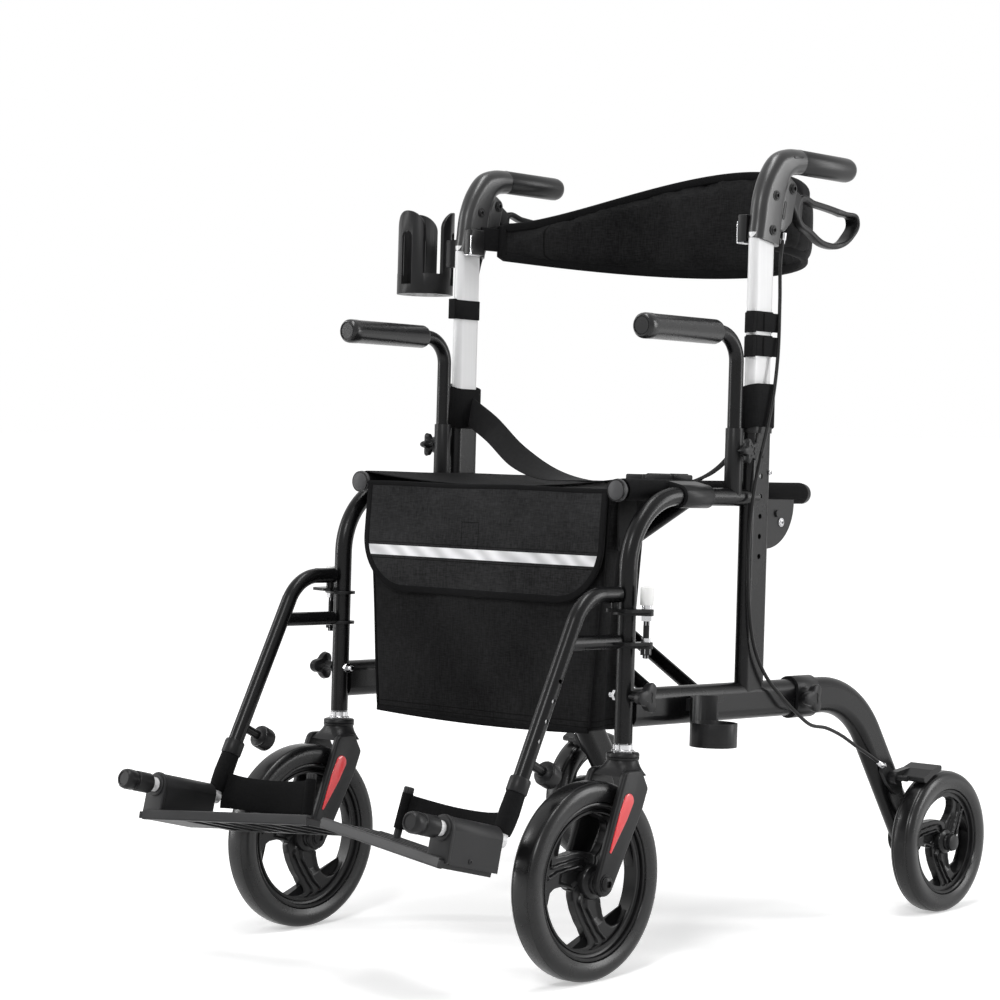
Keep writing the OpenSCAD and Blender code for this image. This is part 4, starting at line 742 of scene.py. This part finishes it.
STRAP_STEPS, STRAP_ROWS = 46, 15
t = np.linspace(0, 1, STRAP_STEPS)
mid = np.stack([-175 + 167 * t, 6 + 10 * np.sin(np.pi * t), 10 * t - 4 * np.sin(np.pi * t)], -1)
v = np.linspace(-1, 1, STRAP_ROWS)
tall = 22 + 3 * np.clip((t - 0.75) / 0.25, 0, 1) ** 2
ripple = 1.2 * np.sin(3 * np.pi * t)[:, None] * v
face = mid[:, None] + np.stack([np.zeros_like(ripple), ripple, tall[:, None] * v], -1)
out = np.stack([0 * v, 1.0 + 0.6 * (1 - np.abs(v) ** 10), 0 * v], -1)
hem = turned([(0, 5.2), (0, 7.2), (46, 7.2), (46, 5.2)], HEEL_POST - 43 * UPWARD, UPWARD, 36, ring=True)
strap = [on_plate(skin(np.concatenate([(face + out)[:, ::-1], face - out], 1))), on_plate(hem)]
for (side, s), heel in zip(SIDES, both("heel_band", strap, None, strap_cloth, "heel_strap")):
    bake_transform(heel)


# Seat: a double sheet of black polyester sewn in a loop round each seat rail, which sags a little between
# them. The real seat folds at its middle when the rails come together; this sheet is built open and does not.
WRAP_R, SEAT_MIDDLE_Z, SEAT_HALF_THICK, SEAT_LONG = 14.2, 619.6, 1.1, 0.390


def seat_sheet():
    """Rows along y. Across, each half runs round its rail from outside below to the top, then sags to the middle
    as a power of its distance."""
    turn = np.radians(np.linspace(-64, 97, 22))
    over = np.stack([RAIL_X + WRAP_R * np.cos(turn), RAIL_Z + WRAP_R * np.sin(turn)], -1)
    top_x, top_z = over[-1]
    x = np.linspace(top_x, 0, 34)[1:]
    sag = np.stack([x, SEAT_MIDDLE_Z + (top_z - SEAT_MIDDLE_Z) * np.abs(x / top_x) ** 2.2], -1)
    half = np.concatenate([over, sag])
    line = np.concatenate([half * (-1, 1), half[-2::-1]])
    along = np.gradient(line, axis=0)
    up = np.stack([-along[:, 1], along[:, 0]], -1) / np.linalg.norm(along, axis=1)[:, None]
    y = np.concatenate([[-276, -275], np.linspace(-273, 111, 44), [113, 114]])
    full = np.concatenate([[0.3, 0.8], np.ones(44), [0.8, 0.3]])[:, None, None]
    wave = 0.6 * np.sin(y / 31)[:, None] * np.cos(line[:, 0] / 57)[None]
    wave = np.stack([0 * wave, wave], -1)
    thick = up * full * SEAT_HALF_THICK
    ring = np.concatenate([line + thick + wave, (line - thick + wave)[:, ::-1]], 1)
    return np.stack([ring[..., 0], np.broadcast_to(y[:, None], ring.shape[:2]), ring[..., 1]], -1), line


def sewn_line(length, at, half=0.0006):
    """1 within half a width of a place along a length, and 0 elsewhere."""
    return 1 - (length - at).size().above(half)


def seat_stitch(x, z):
    """Two seams inside each rail's loop."""
    return sewn_line(x.size(), 0.206, 0.0007).most(sewn_line(x.size(), 0.200, 0.0007))


seat_cloth = sewn_cloth("seat_cloth", (0.004, 0.004, 0.0042), (0.009, 0.009, 0.0095), True, seat_stitch)
rows, line = seat_sheet()
seat = piece("seat_sling", [skin(rows)], None, seat_cloth, 1, ["seat_left", "seat_right"])
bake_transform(seat)


# Bag: a shell of black oxford cloth hung under the front of the seat, slack between its top corners, with a
# pleat in each side, a bound bottom seam and webbing tabs to the rails.
BAG_LOW, BAG_TALL, BAG_HALF, BAG_FLARE, BAG_DEEP, BAG_Y = 303, 308, 196, 24.5, 78, -241
BAG_FOLD = 0.234, 0.46


def even_ring(outline, count):
    """A closed outline walked at even steps."""
    loop = np.concatenate([outline, outline[:1]])
    d = steps_along(loop)
    t = np.linspace(0, d[-1], count, endpoint=False)
    return np.stack([np.interp(t, d, loop[:, i]) for i in (0, 1)], -1)


def bag_shell():
    """Rings stacked upwards: a rounded box that widens to its mouth, whose front swells and hangs in shallow
    waves and whose sides are drawn in along a pleat. The lowest two rings are drawn in for the bottom's edge."""
    low, next_low = 0, 0.002
    rings = []
    for k in np.concatenate([[low, next_low, 0.008], np.linspace(0.02, 1, 56)]):
        half = BAG_HALF + BAG_FLARE * k
        box = even_ring(round_bar(2 * half, BAG_DEEP, 9, 48), 260)
        x, y = box[:, 0] / half, box[:, 1] / (BAG_DEEP / 2)
        slack = np.sin(np.pi * np.clip(k, 0, 1)) ** 0.8
        front = np.clip(-y, 0, 1) ** 6 * (1 - np.abs(x) ** 6)
        folds = 1.6 * np.sin(5.2 * x + 2.6 * k) + 1.1 * np.sin(11 * x - 5 * k + 1)
        pleat = np.clip(np.abs(x), 0, 1) ** 24 * np.exp(-((y - 0.05) / 0.34) ** 2)
        xx = box[:, 0] * (1 - 0.035 * (k == low) - 0.012 * (k == next_low)) - np.sign(x) * pleat * (6 + 9 * slack)
        yy = BAG_Y + box[:, 1] * (1 - 0.08 * (k == low)) - front * slack * (8.5 + folds) * 0.8
        sag = -5.0 * (1 - x**2) * (1 - k) ** 3
        rings.append(np.stack([xx, yy, BAG_LOW + BAG_TALL * k + sag], -1))
    return rings


def bag_stitch(x, z):
    """Two seams round the bag's bottom."""
    return sewn_line(z, 0.3155, 0.0007).most(sewn_line(z, 0.308))


def crumple(anchor, keep, *pieces):
    """Gives each piece of cloth its own copy of its mesh; nothing is pressed together. The anchor and keep are not
    used.
    """
    for made in pieces:
        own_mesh(made)


bag_cloth = sewn_cloth("bag_cloth", (0.004, 0.004, 0.0042), (0.020, 0.020, 0.0205), lines=bag_stitch)
binding_cloth = sewn_cloth("binding_tape", (0.004, 0.004, 0.0042), (0.009, 0.009, 0.0095))
bag = piece("bag_shell", [skin(bag_shell())], "bag", bag_cloth, 1, ["bag"])
x = np.linspace(-193, 193, 80)
hem = np.stack([x, -281.6 - 0.4 * np.cos(x / 60), 304.5 - 5 * (1 - (x / BAG_HALF) ** 2)], -1)
seams = [carry(hem, round_bar(3.4, 7, 1.5, 16), REARWARD)]
z = np.linspace(306, 600, 40)
k = (z - BAG_LOW) / 300
for f in (-1, 1):
    seams.append(carry(np.stack([f * (193.6 + BAG_FLARE * k), -279 - 0.6 * np.sin(9 * k), z], -1), circle(2.0, 12)))
bag_seams = piece("bag_seams", seams, "bag", binding_cloth, 1)
tab = [moulding(rounded_box(-268, -232, 540, 607, 2), 221.2, 224, 0.8),
       moulding(rounded_box(-266, -234, 546, 556, 1), 223.6, 225, 0.5)]
tabs = [piece(f"{side}_bag_tab", tab, "bag", webbing, s) for side, s in SIDES]
crumple(*BAG_FOLD, bag, bag_seams, *tabs)


# Flap: a stiffened panel of the same cloth over the bag's mouth, bound all round, with a reflective stripe
# sewn across it and the stitching of a hook-and-loop patch behind.
FLAP_LOW, FLAP_TOP, FLAP_HALF, FLAP_ROUND, FLAP_AREA = 468.8, 617.5, 218.2, 78.0, 0.0623
FLAP_SQUARE = FLAP_HALF - FLAP_ROUND


def flap_half(z):
    """Half the flap's width at a height: full, then in along a quarter circle at its lower corners."""
    drop = np.clip(FLAP_LOW + FLAP_ROUND - z, 0, FLAP_ROUND)
    return FLAP_SQUARE + np.sqrt(FLAP_ROUND**2 - drop**2)


def flap_front(x, z):
    """The flap's face: it follows the bag, stands off a little at its hem and hangs in shallow waves."""
    low = np.clip((FLAP_TOP - z) / 150, 0, 1)
    return -285.6 - 7 * np.sin(np.pi / 2 * low) - low * (1.3 * np.sin(x / 48 + 0.6) + 0.7 * np.sin(x / 23 - z / 40))


def flap_rows(z, half, thick, lift=0.0):
    """Rows stacked upwards: the face from left to right, then its back, a thickness behind it."""
    x = half[:, None] * np.linspace(-1, 1, 61)
    zz = np.broadcast_to(z[:, None], x.shape)
    y = flap_front(x, zz) - lift
    return np.concatenate([np.stack([x, y, zz], -1), np.stack([x, y + thick, zz], -1)[:, ::-1]], 1)


def flap_stitch(x, z):
    """The seams along the stripe's edges, and the four sides of the patch."""
    patch = sewn_line(x, -0.018, 0.016) * sewn_line(z, 0.551, 0.018)
    inner = sewn_line(x, -0.018, 0.0148) * sewn_line(z, 0.551, 0.0168)
    return sewn_line(z, 0.5145).most(sewn_line(z, 0.5365)).most(patch - inner)


def reflective():
    s = Shade("reflective_stripe")
    x, _, z = s.lengths()
    # The slanted lighter bands in the colour are a painted sheen of reflected light; a fine random tone is mixed in.
    sheen = ((x * 150 + z * 260 + s.noise(9, 2) * 9).sine() * 0.5 + 0.5) * 0.7 + s.noise(60, 2) * 0.3
    return s.wear(Base_Color=s.tint(sheen, (0.36, 0.36, 0.37), (0.66, 0.66, 0.67)), Roughness=0.34 + sheen * 0.1,
                  Metallic=0.25, Normal=s.relief(s.noise(1500, 2), 0.0002, 0.4))


flap_cloth = sewn_cloth("flap_cloth", (0.007, 0.007, 0.0073), (0.034, 0.034, 0.035), lines=flap_stitch)
z = FLAP_LOW + (FLAP_TOP - FLAP_LOW) * np.linspace(0, 1, 64) ** 1.4
flap = piece("flap_panel", [skin(flap_rows(z, flap_half(z), 2.2))], "bag_flap", flap_cloth, 1, ["bag_flap"])
turn = np.linspace(0, np.pi / 2, 24)
corner = np.stack([FLAP_SQUARE + FLAP_ROUND * np.cos(turn), FLAP_LOW + FLAP_ROUND - FLAP_ROUND * np.sin(turn)], -1)
drop = np.stack([np.full(26, FLAP_HALF), np.linspace(FLAP_TOP, FLAP_LOW + FLAP_ROUND, 26, endpoint=False)], -1)
foot = np.stack([np.linspace(FLAP_SQUARE, 0, 24)[1:], np.full(23, FLAP_LOW)], -1)
right_half = np.concatenate([drop, corner, foot])
outline = np.concatenate([right_half, (right_half * (-1, 1))[-2::-1]])
inward = np.gradient(outline, axis=0)
inward = np.stack([inward[:, 1], -inward[:, 0]], -1) / np.linalg.norm(inward, axis=1)[:, None]
x, z = (outline + inward * 4.6).T
edge = np.stack([x, flap_front(x, z) + 1.1, z], -1)
x = np.linspace(FLAP_HALF, -FLAP_HALF, 70)
hood = np.stack([x, np.full(70, -284.0), 617.4 + 0.7 * np.sin(x / 37)], -1)
bound = [carry(edge, round_bar(3.8, 9.6, 1.6, 20), REARWARD), carry(hood, round_bar(5.4, 7, 2.4, 20), REARWARD)]
flap_edge = piece("flap_binding", bound, "bag_flap", binding_cloth, 1)
z = np.linspace(518.8, 532.6, 9)
stripe = piece("flap_stripe", [skin(flap_rows(z, flap_half(z) - 8.6, 1.2, 0.5))], "bag_flap", reflective(), 1)
crumple(*BAG_FOLD, flap, flap_edge, stripe)


# Backrest: a padded band of black cloth between the handles, tall in its middle, bound all round and creased
# where it bends. The stuffing is blown up as cloth under a little pressure, then creased and bound.
BACK_END, BACK_BOW, BACK_Z, BACK_RISE = np.array((245.0, 5.0)), 262.0, 979.0, 37.0
STUFF_PRESSURE, STUFF_FRAMES, STUFF_VOXEL, STUFF_SWELL = 4, 20, 0.005, 0.005
# Each crease's place along the band, its depth in millimetres and its width along the band.
CREASES = ((-0.90, 1.6, 0.012), (-0.74, 1.8, 0.016), (-0.58, 2.2, 0.018), (-0.44, 2.0, 0.016), (-0.30, 3.2, 0.020),
           (-0.19, 2.4, 0.014), (-0.08, 3.0, 0.018), (0.04, 2.4, 0.016), (0.17, 3.4, 0.018), (0.29, 2.0, 0.014),
           (0.40, 2.6, 0.018), (0.53, 2.2, 0.014), (0.66, 1.4, 0.012))


def back_full(t):
    """How full the band is along its arc, from its far end at 1 to its near end at -1."""
    return np.maximum(np.cos(np.pi / 2 * t), 0) ** 1.6


def back_turn(t):
    """The angle of the band's outward normal along its arc."""
    return np.arctan2(BACK_BOW * np.sin(np.pi / 2 * t), BACK_END[0] * np.cos(np.pi / 2 * t))


def back_place(t, across, up):
    """The band's middle surface: half an ellipse to the rear, highest in its middle, with a length along its
    normal and one upwards."""
    turn = back_turn(t)
    return np.stack([-BACK_END[0] * np.sin(np.pi / 2 * t) - across * np.sin(turn),
                     BACK_END[1] + BACK_BOW * np.cos(np.pi / 2 * t) + across * np.cos(turn),
                     BACK_Z + BACK_RISE * back_full(t) + up], -1)


def back_half(t):
    """Half the band's height along its arc."""
    return (53 + 103 * back_full(t)) / 2


def plump(pad, swell):
    """Stuffs a closed pad: its skin is made even, then pressed outwards as cloth for 20 frames, and no point
    goes further than the swell."""
    even = pad.modifiers.new("even", "REMESH")
    even.mode, even.voxel_size = "VOXEL", STUFF_VOXEL
    looks = list(pad.data.materials)
    pad.data = bpy.data.meshes.new_from_object(pad.evaluated_get(bpy.context.evaluated_depsgraph_get()))
    pad.modifiers.clear()
    if not pad.data.materials:
        pad.data.materials.append(looks[0])
    rest = np.zeros(len(pad.data.vertices) * 3)
    pad.data.vertices.foreach_get("co", rest)
    moved = rest.copy()
    stuffed = pad.modifiers.new("stuffed", "CLOTH")
    stuffed.settings.use_pressure = True
    stuffed.settings.uniform_pressure_force = STUFF_PRESSURE
    stuffed.settings.effector_weights.gravity = 0
    for k in range(STUFF_FRAMES):
        bpy.context.scene.frame_set(k + 1)
    pad.evaluated_get(bpy.context.evaluated_depsgraph_get()).data.vertices.foreach_get("co", moved)
    pad.modifiers.clear()
    bpy.context.scene.frame_set(1)
    step = (moved - rest).reshape(-1, 3)
    far = np.linalg.norm(step, axis=1)
    step *= np.minimum(1, swell / np.maximum(far, 1e-9))[:, None]
    return rest.reshape(-1, 3) + step


def back_stitch(x, z):
    """The seam across the band near its far end, a little inside its end binding."""
    return sewn_line(x, -0.2255)


back_cloth = sewn_cloth("backrest_cloth", (0.004, 0.004, 0.0042), (0.020, 0.020, 0.0205), lines=back_stitch)
t = np.linspace(-0.999, 0.999, 110)
a = np.linspace(0, 2 * np.pi, 40, endpoint=False)
thick = 0.42 * (7 + 11 * np.maximum(np.cos(np.pi / 2 * t), 0) ** 0.5)
bolster = back_place(t[:, None], thick[:, None] * np.sign(np.sin(a)) * np.abs(np.sin(a)) ** 0.5,
                     (back_half(t) - 1)[:, None] * np.cos(a))
pad = piece("backrest_pad", [skin(bolster)], None, back_cloth)
body_at = plump(pad, STUFF_SWELL)
across = np.arcsin(np.clip(-body_at[:, 0] * 1000 / BACK_END[0], -1, 1)) * 2 / np.pi
rise = level_of(body_at[:, 1] * 1000, body_at[:, 2] * 1000)[1] - BACK_Z - BACK_RISE * back_full(across)
dent = np.zeros(len(body_at))
for k, (at, deep, wide) in enumerate(CREASES):
    lean = at + 0.02 * np.sin(rise / 31 + k)
    dent += deep * np.exp(-((across - lean) / wide) ** 2) * np.clip(0.6 + 0.6 * np.cos(rise / 30 + 2 * k), 0, 1)
facing = np.zeros(len(body_at) * 3)
pad.data.vertices.foreach_set("co", body_at.ravel())
pad.data.update()
pad.data.vertices.foreach_get("normal", facing)
body_at -= facing.reshape(-1, 3) * (dent * 0.001)[:, None]
pad.data.vertices.foreach_set("co", body_at.ravel())
pad.data.polygons.foreach_set("use_smooth", np.ones(len(pad.data.polygons), bool))
pad.data.update()
fine = pad.modifiers.new("fine", "SUBSURF")
fine.levels = fine.render_levels = 1
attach(pad, "left_handle")
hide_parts("backrest")
t = np.linspace(-0.996, 0.996, 120)
rim_t = np.concatenate([t, t[::-1]])
rim_up = np.concatenate([back_half(t) - 5.0, -(back_half(t[::-1]) - 5.0)])
turn = back_turn(rim_t)
normal = np.stack([-np.sin(turn), np.cos(turn), 0 * turn], -1)
bound = [carry(back_place(rim_t, 0 * rim_t, rim_up), round_bar(9.6, 13, 3.4, 20), normal, closed=True)]
for f in (-1, 1):
    strap = np.stack([f * np.linspace(251, 245, 12), np.linspace(-31.6, 12, 12), np.full(12, BACK_Z + 2)], -1)
    bound.append(carry(strap, round_bar(3.6, 34, 1.4, 20)))
back_edge = piece("backrest_binding", bound, "left_handle", binding_cloth, 1)
crumple(0.251, 0.49, pad, back_edge)


# Lap belt: 42 mm webbing looped round the uprights' sleeves, slack across the seat, with a side-release
# buckle of black plastic.
BELT_RUN = [(-257, -40, 726, 80), (-210, -46, 702, 62), (-140, -60, 660, 42), (-60, -74, 635, 16), (0, -76, 628.6, 0),
            (90, -76, 628.6, 0), (190, -76, 632, 6), (228, -70, 652, 35), (257, -40, 706, 80)]
BELT_STEPS, BELT_HALF = 150, 21
run = through(BELT_RUN, BELT_STEPS)
middle, lean = run[:, :3], np.radians(run[:, 3])
side_way = np.stack([0 * lean, np.cos(lean), np.sin(lean)], -1)
out_way = np.stack([0 * lean, -np.sin(lean), np.cos(lean)], -1)[:, None]
v = np.linspace(-1, 1, 13)
soft_edge = (1.15 * (1 - np.abs(v) ** 8 * 0.6))[:, None] * out_way
curl = 0.8 * np.sin(run[:, 0] / 40)[:, None] * v**2
mid = middle[:, None] + BELT_HALF * v[:, None] * side_way[:, None] + curl[..., None] * out_way
belt_rings = np.concatenate([mid + soft_edge, (mid - soft_edge)[:, ::-1]], 1)
lay = np.stack([np.repeat(steps_along(middle) / 1000, 2 * len(v)),
                np.tile(np.concatenate([v, v[::-1]]) * BELT_HALF / 1000, BELT_STEPS)], -1)
belt = piece("lap_belt_run", [skin(belt_rings[:, ::-1])], "left_frame", webbing, 1, ["lap_belt"], lay)
both("belt_loop", [band(704.5, 762, 22, 50, 2.3, 4.9, 0.28)], "frame", strap_cloth)
clasp = []
for box, low, high, edge in (((126, 176, -101, -51, 6), 629.8, 641, 2.4), ((90, 124, -97, -55, 5), 630, 640.4, 2.2),
                             ((118, 150, -85, -67, 3), 630.5, 642, 1.6), ((121, 130, -99, -91, 3), 630.4, 640.6, 2),
                             ((121, 130, -61, -53, 3), 630.4, 640.6, 2), ((166, 172, -94, -58, 2), 640, 642.4, 1)):
    points, faces = moulding(rounded_box(*box), low, high, edge)
    clasp.append((points[:, (1, 2, 0)], faces))
buckle = piece("belt_clasp", clasp, "left_frame", satin_black, 1, ["belt_buckle"])
crumple(0.257, 0.5, belt, buckle)


# Plain pale studio: a white floor that keeps a soft shadow, white surroundings for the view and for
# reflections, and soft lamps: a broad key and top, and tall strips that draw the tubes' highlights.
LAMPS = (("key", (1.6, -3.6, 3.0), (0.8, 0.8), 62), ("left", (-3.0, -2.2, 1.5), (0.2, 2.8), 56),
         ("right", (3.0, 2.4, 1.5), (0.8, 2.6), 80), ("top", (0.3, -0.4, 3.6), (0.6, 2.6), 70))
LAMPS_AIM = Vector((0, -0.1, 0.55))
FLOOR_REACH, WORLD_LIGHT, WORLD_SEEN = 40, 0.32, 1.0


def surroundings():
    """A white world: full where the view or a reflection sees it, dimmer where it lights the chair."""
    world = bpy.data.worlds.new("studio")
    world.use_nodes = True
    bpy.context.scene.world = world
    tree = world.node_tree
    path = tree.nodes.new("ShaderNodeLightPath")
    seen = path.outputs["Is Camera Ray"]
    for ray in ("Is Glossy Ray", "Is Transmission Ray"):
        either = tree.nodes.new("ShaderNodeMath")
        either.operation = "MAXIMUM"
        tree.links.new(seen, either.inputs[0])
        tree.links.new(path.outputs[ray], either.inputs[1])
        seen = either.outputs[0]
    level = tree.nodes.new("ShaderNodeMapRange")
    level.inputs["To Min"].default_value, level.inputs["To Max"].default_value = WORLD_LIGHT, WORLD_SEEN
    tree.links.new(seen, level.inputs["Value"])
    tree.links.new(level.outputs[0], tree.nodes["Background"].inputs["Strength"])
    tree.nodes["Background"].inputs["Color"].default_value = (1, 1, 1, 1)


def pale_floor():
    """A matt white floor with a little glow of its own for the view and for reflections, more further away."""
    s = Shade("pale_floor")
    s.wear(Base_Color=(0.9, 0.9, 0.9, 1), Roughness=0.9, Specular_IOR_Level=0.0)
    ray = s.node("ShaderNodeLightPath")
    seen = ray.most(ray.outlet("Is Glossy Ray")).most(ray.outlet("Is Transmission Ray"))
    far = s.node("ShaderNodeVectorMath", {"operation": "LENGTH"}, {0: s.place()}, out="Value")
    away = ((far - 0.9) * 0.45).most(0.0).least(1.0)
    glow = s.node("ShaderNodeEmission", sockets={"Strength": seen * (away * 0.42 + 0.40)})
    total = s.node("ShaderNodeAddShader", sockets={0: Wire(s, s.shader.outputs[0]), 1: glow})
    s.feed(s.tree.nodes["Material Output"].inputs["Surface"], total)
    return s.look


surroundings()
for name, at, size, power in LAMPS:
    lamp = bpy.data.lights.new(name, "AREA")
    lamp.shape, lamp.size, lamp.size_y, lamp.energy = "RECTANGLE", *size, power
    holder = bpy.data.objects.new(name, lamp)
    aim = (LAMPS_AIM - Vector(at)).to_track_quat("-Z", "Y").to_matrix().to_4x4()
    holder.matrix_world = Matrix.Translation(at) @ aim
    bpy.context.scene.collection.objects.link(holder)
ground = bpy.data.meshes.new("floor")
ground.from_pydata([(x * FLOOR_REACH, y * FLOOR_REACH, 0) for x, y in ((-1, -1), (1, -1), (1, 1), (-1, 1))], [],
                   [(0, 1, 2, 3)])
ground.materials.append(pale_floor())
floor = bpy.data.objects.new("floor", ground)
bpy.context.scene.collection.objects.link(floor)
floor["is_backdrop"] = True

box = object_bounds()
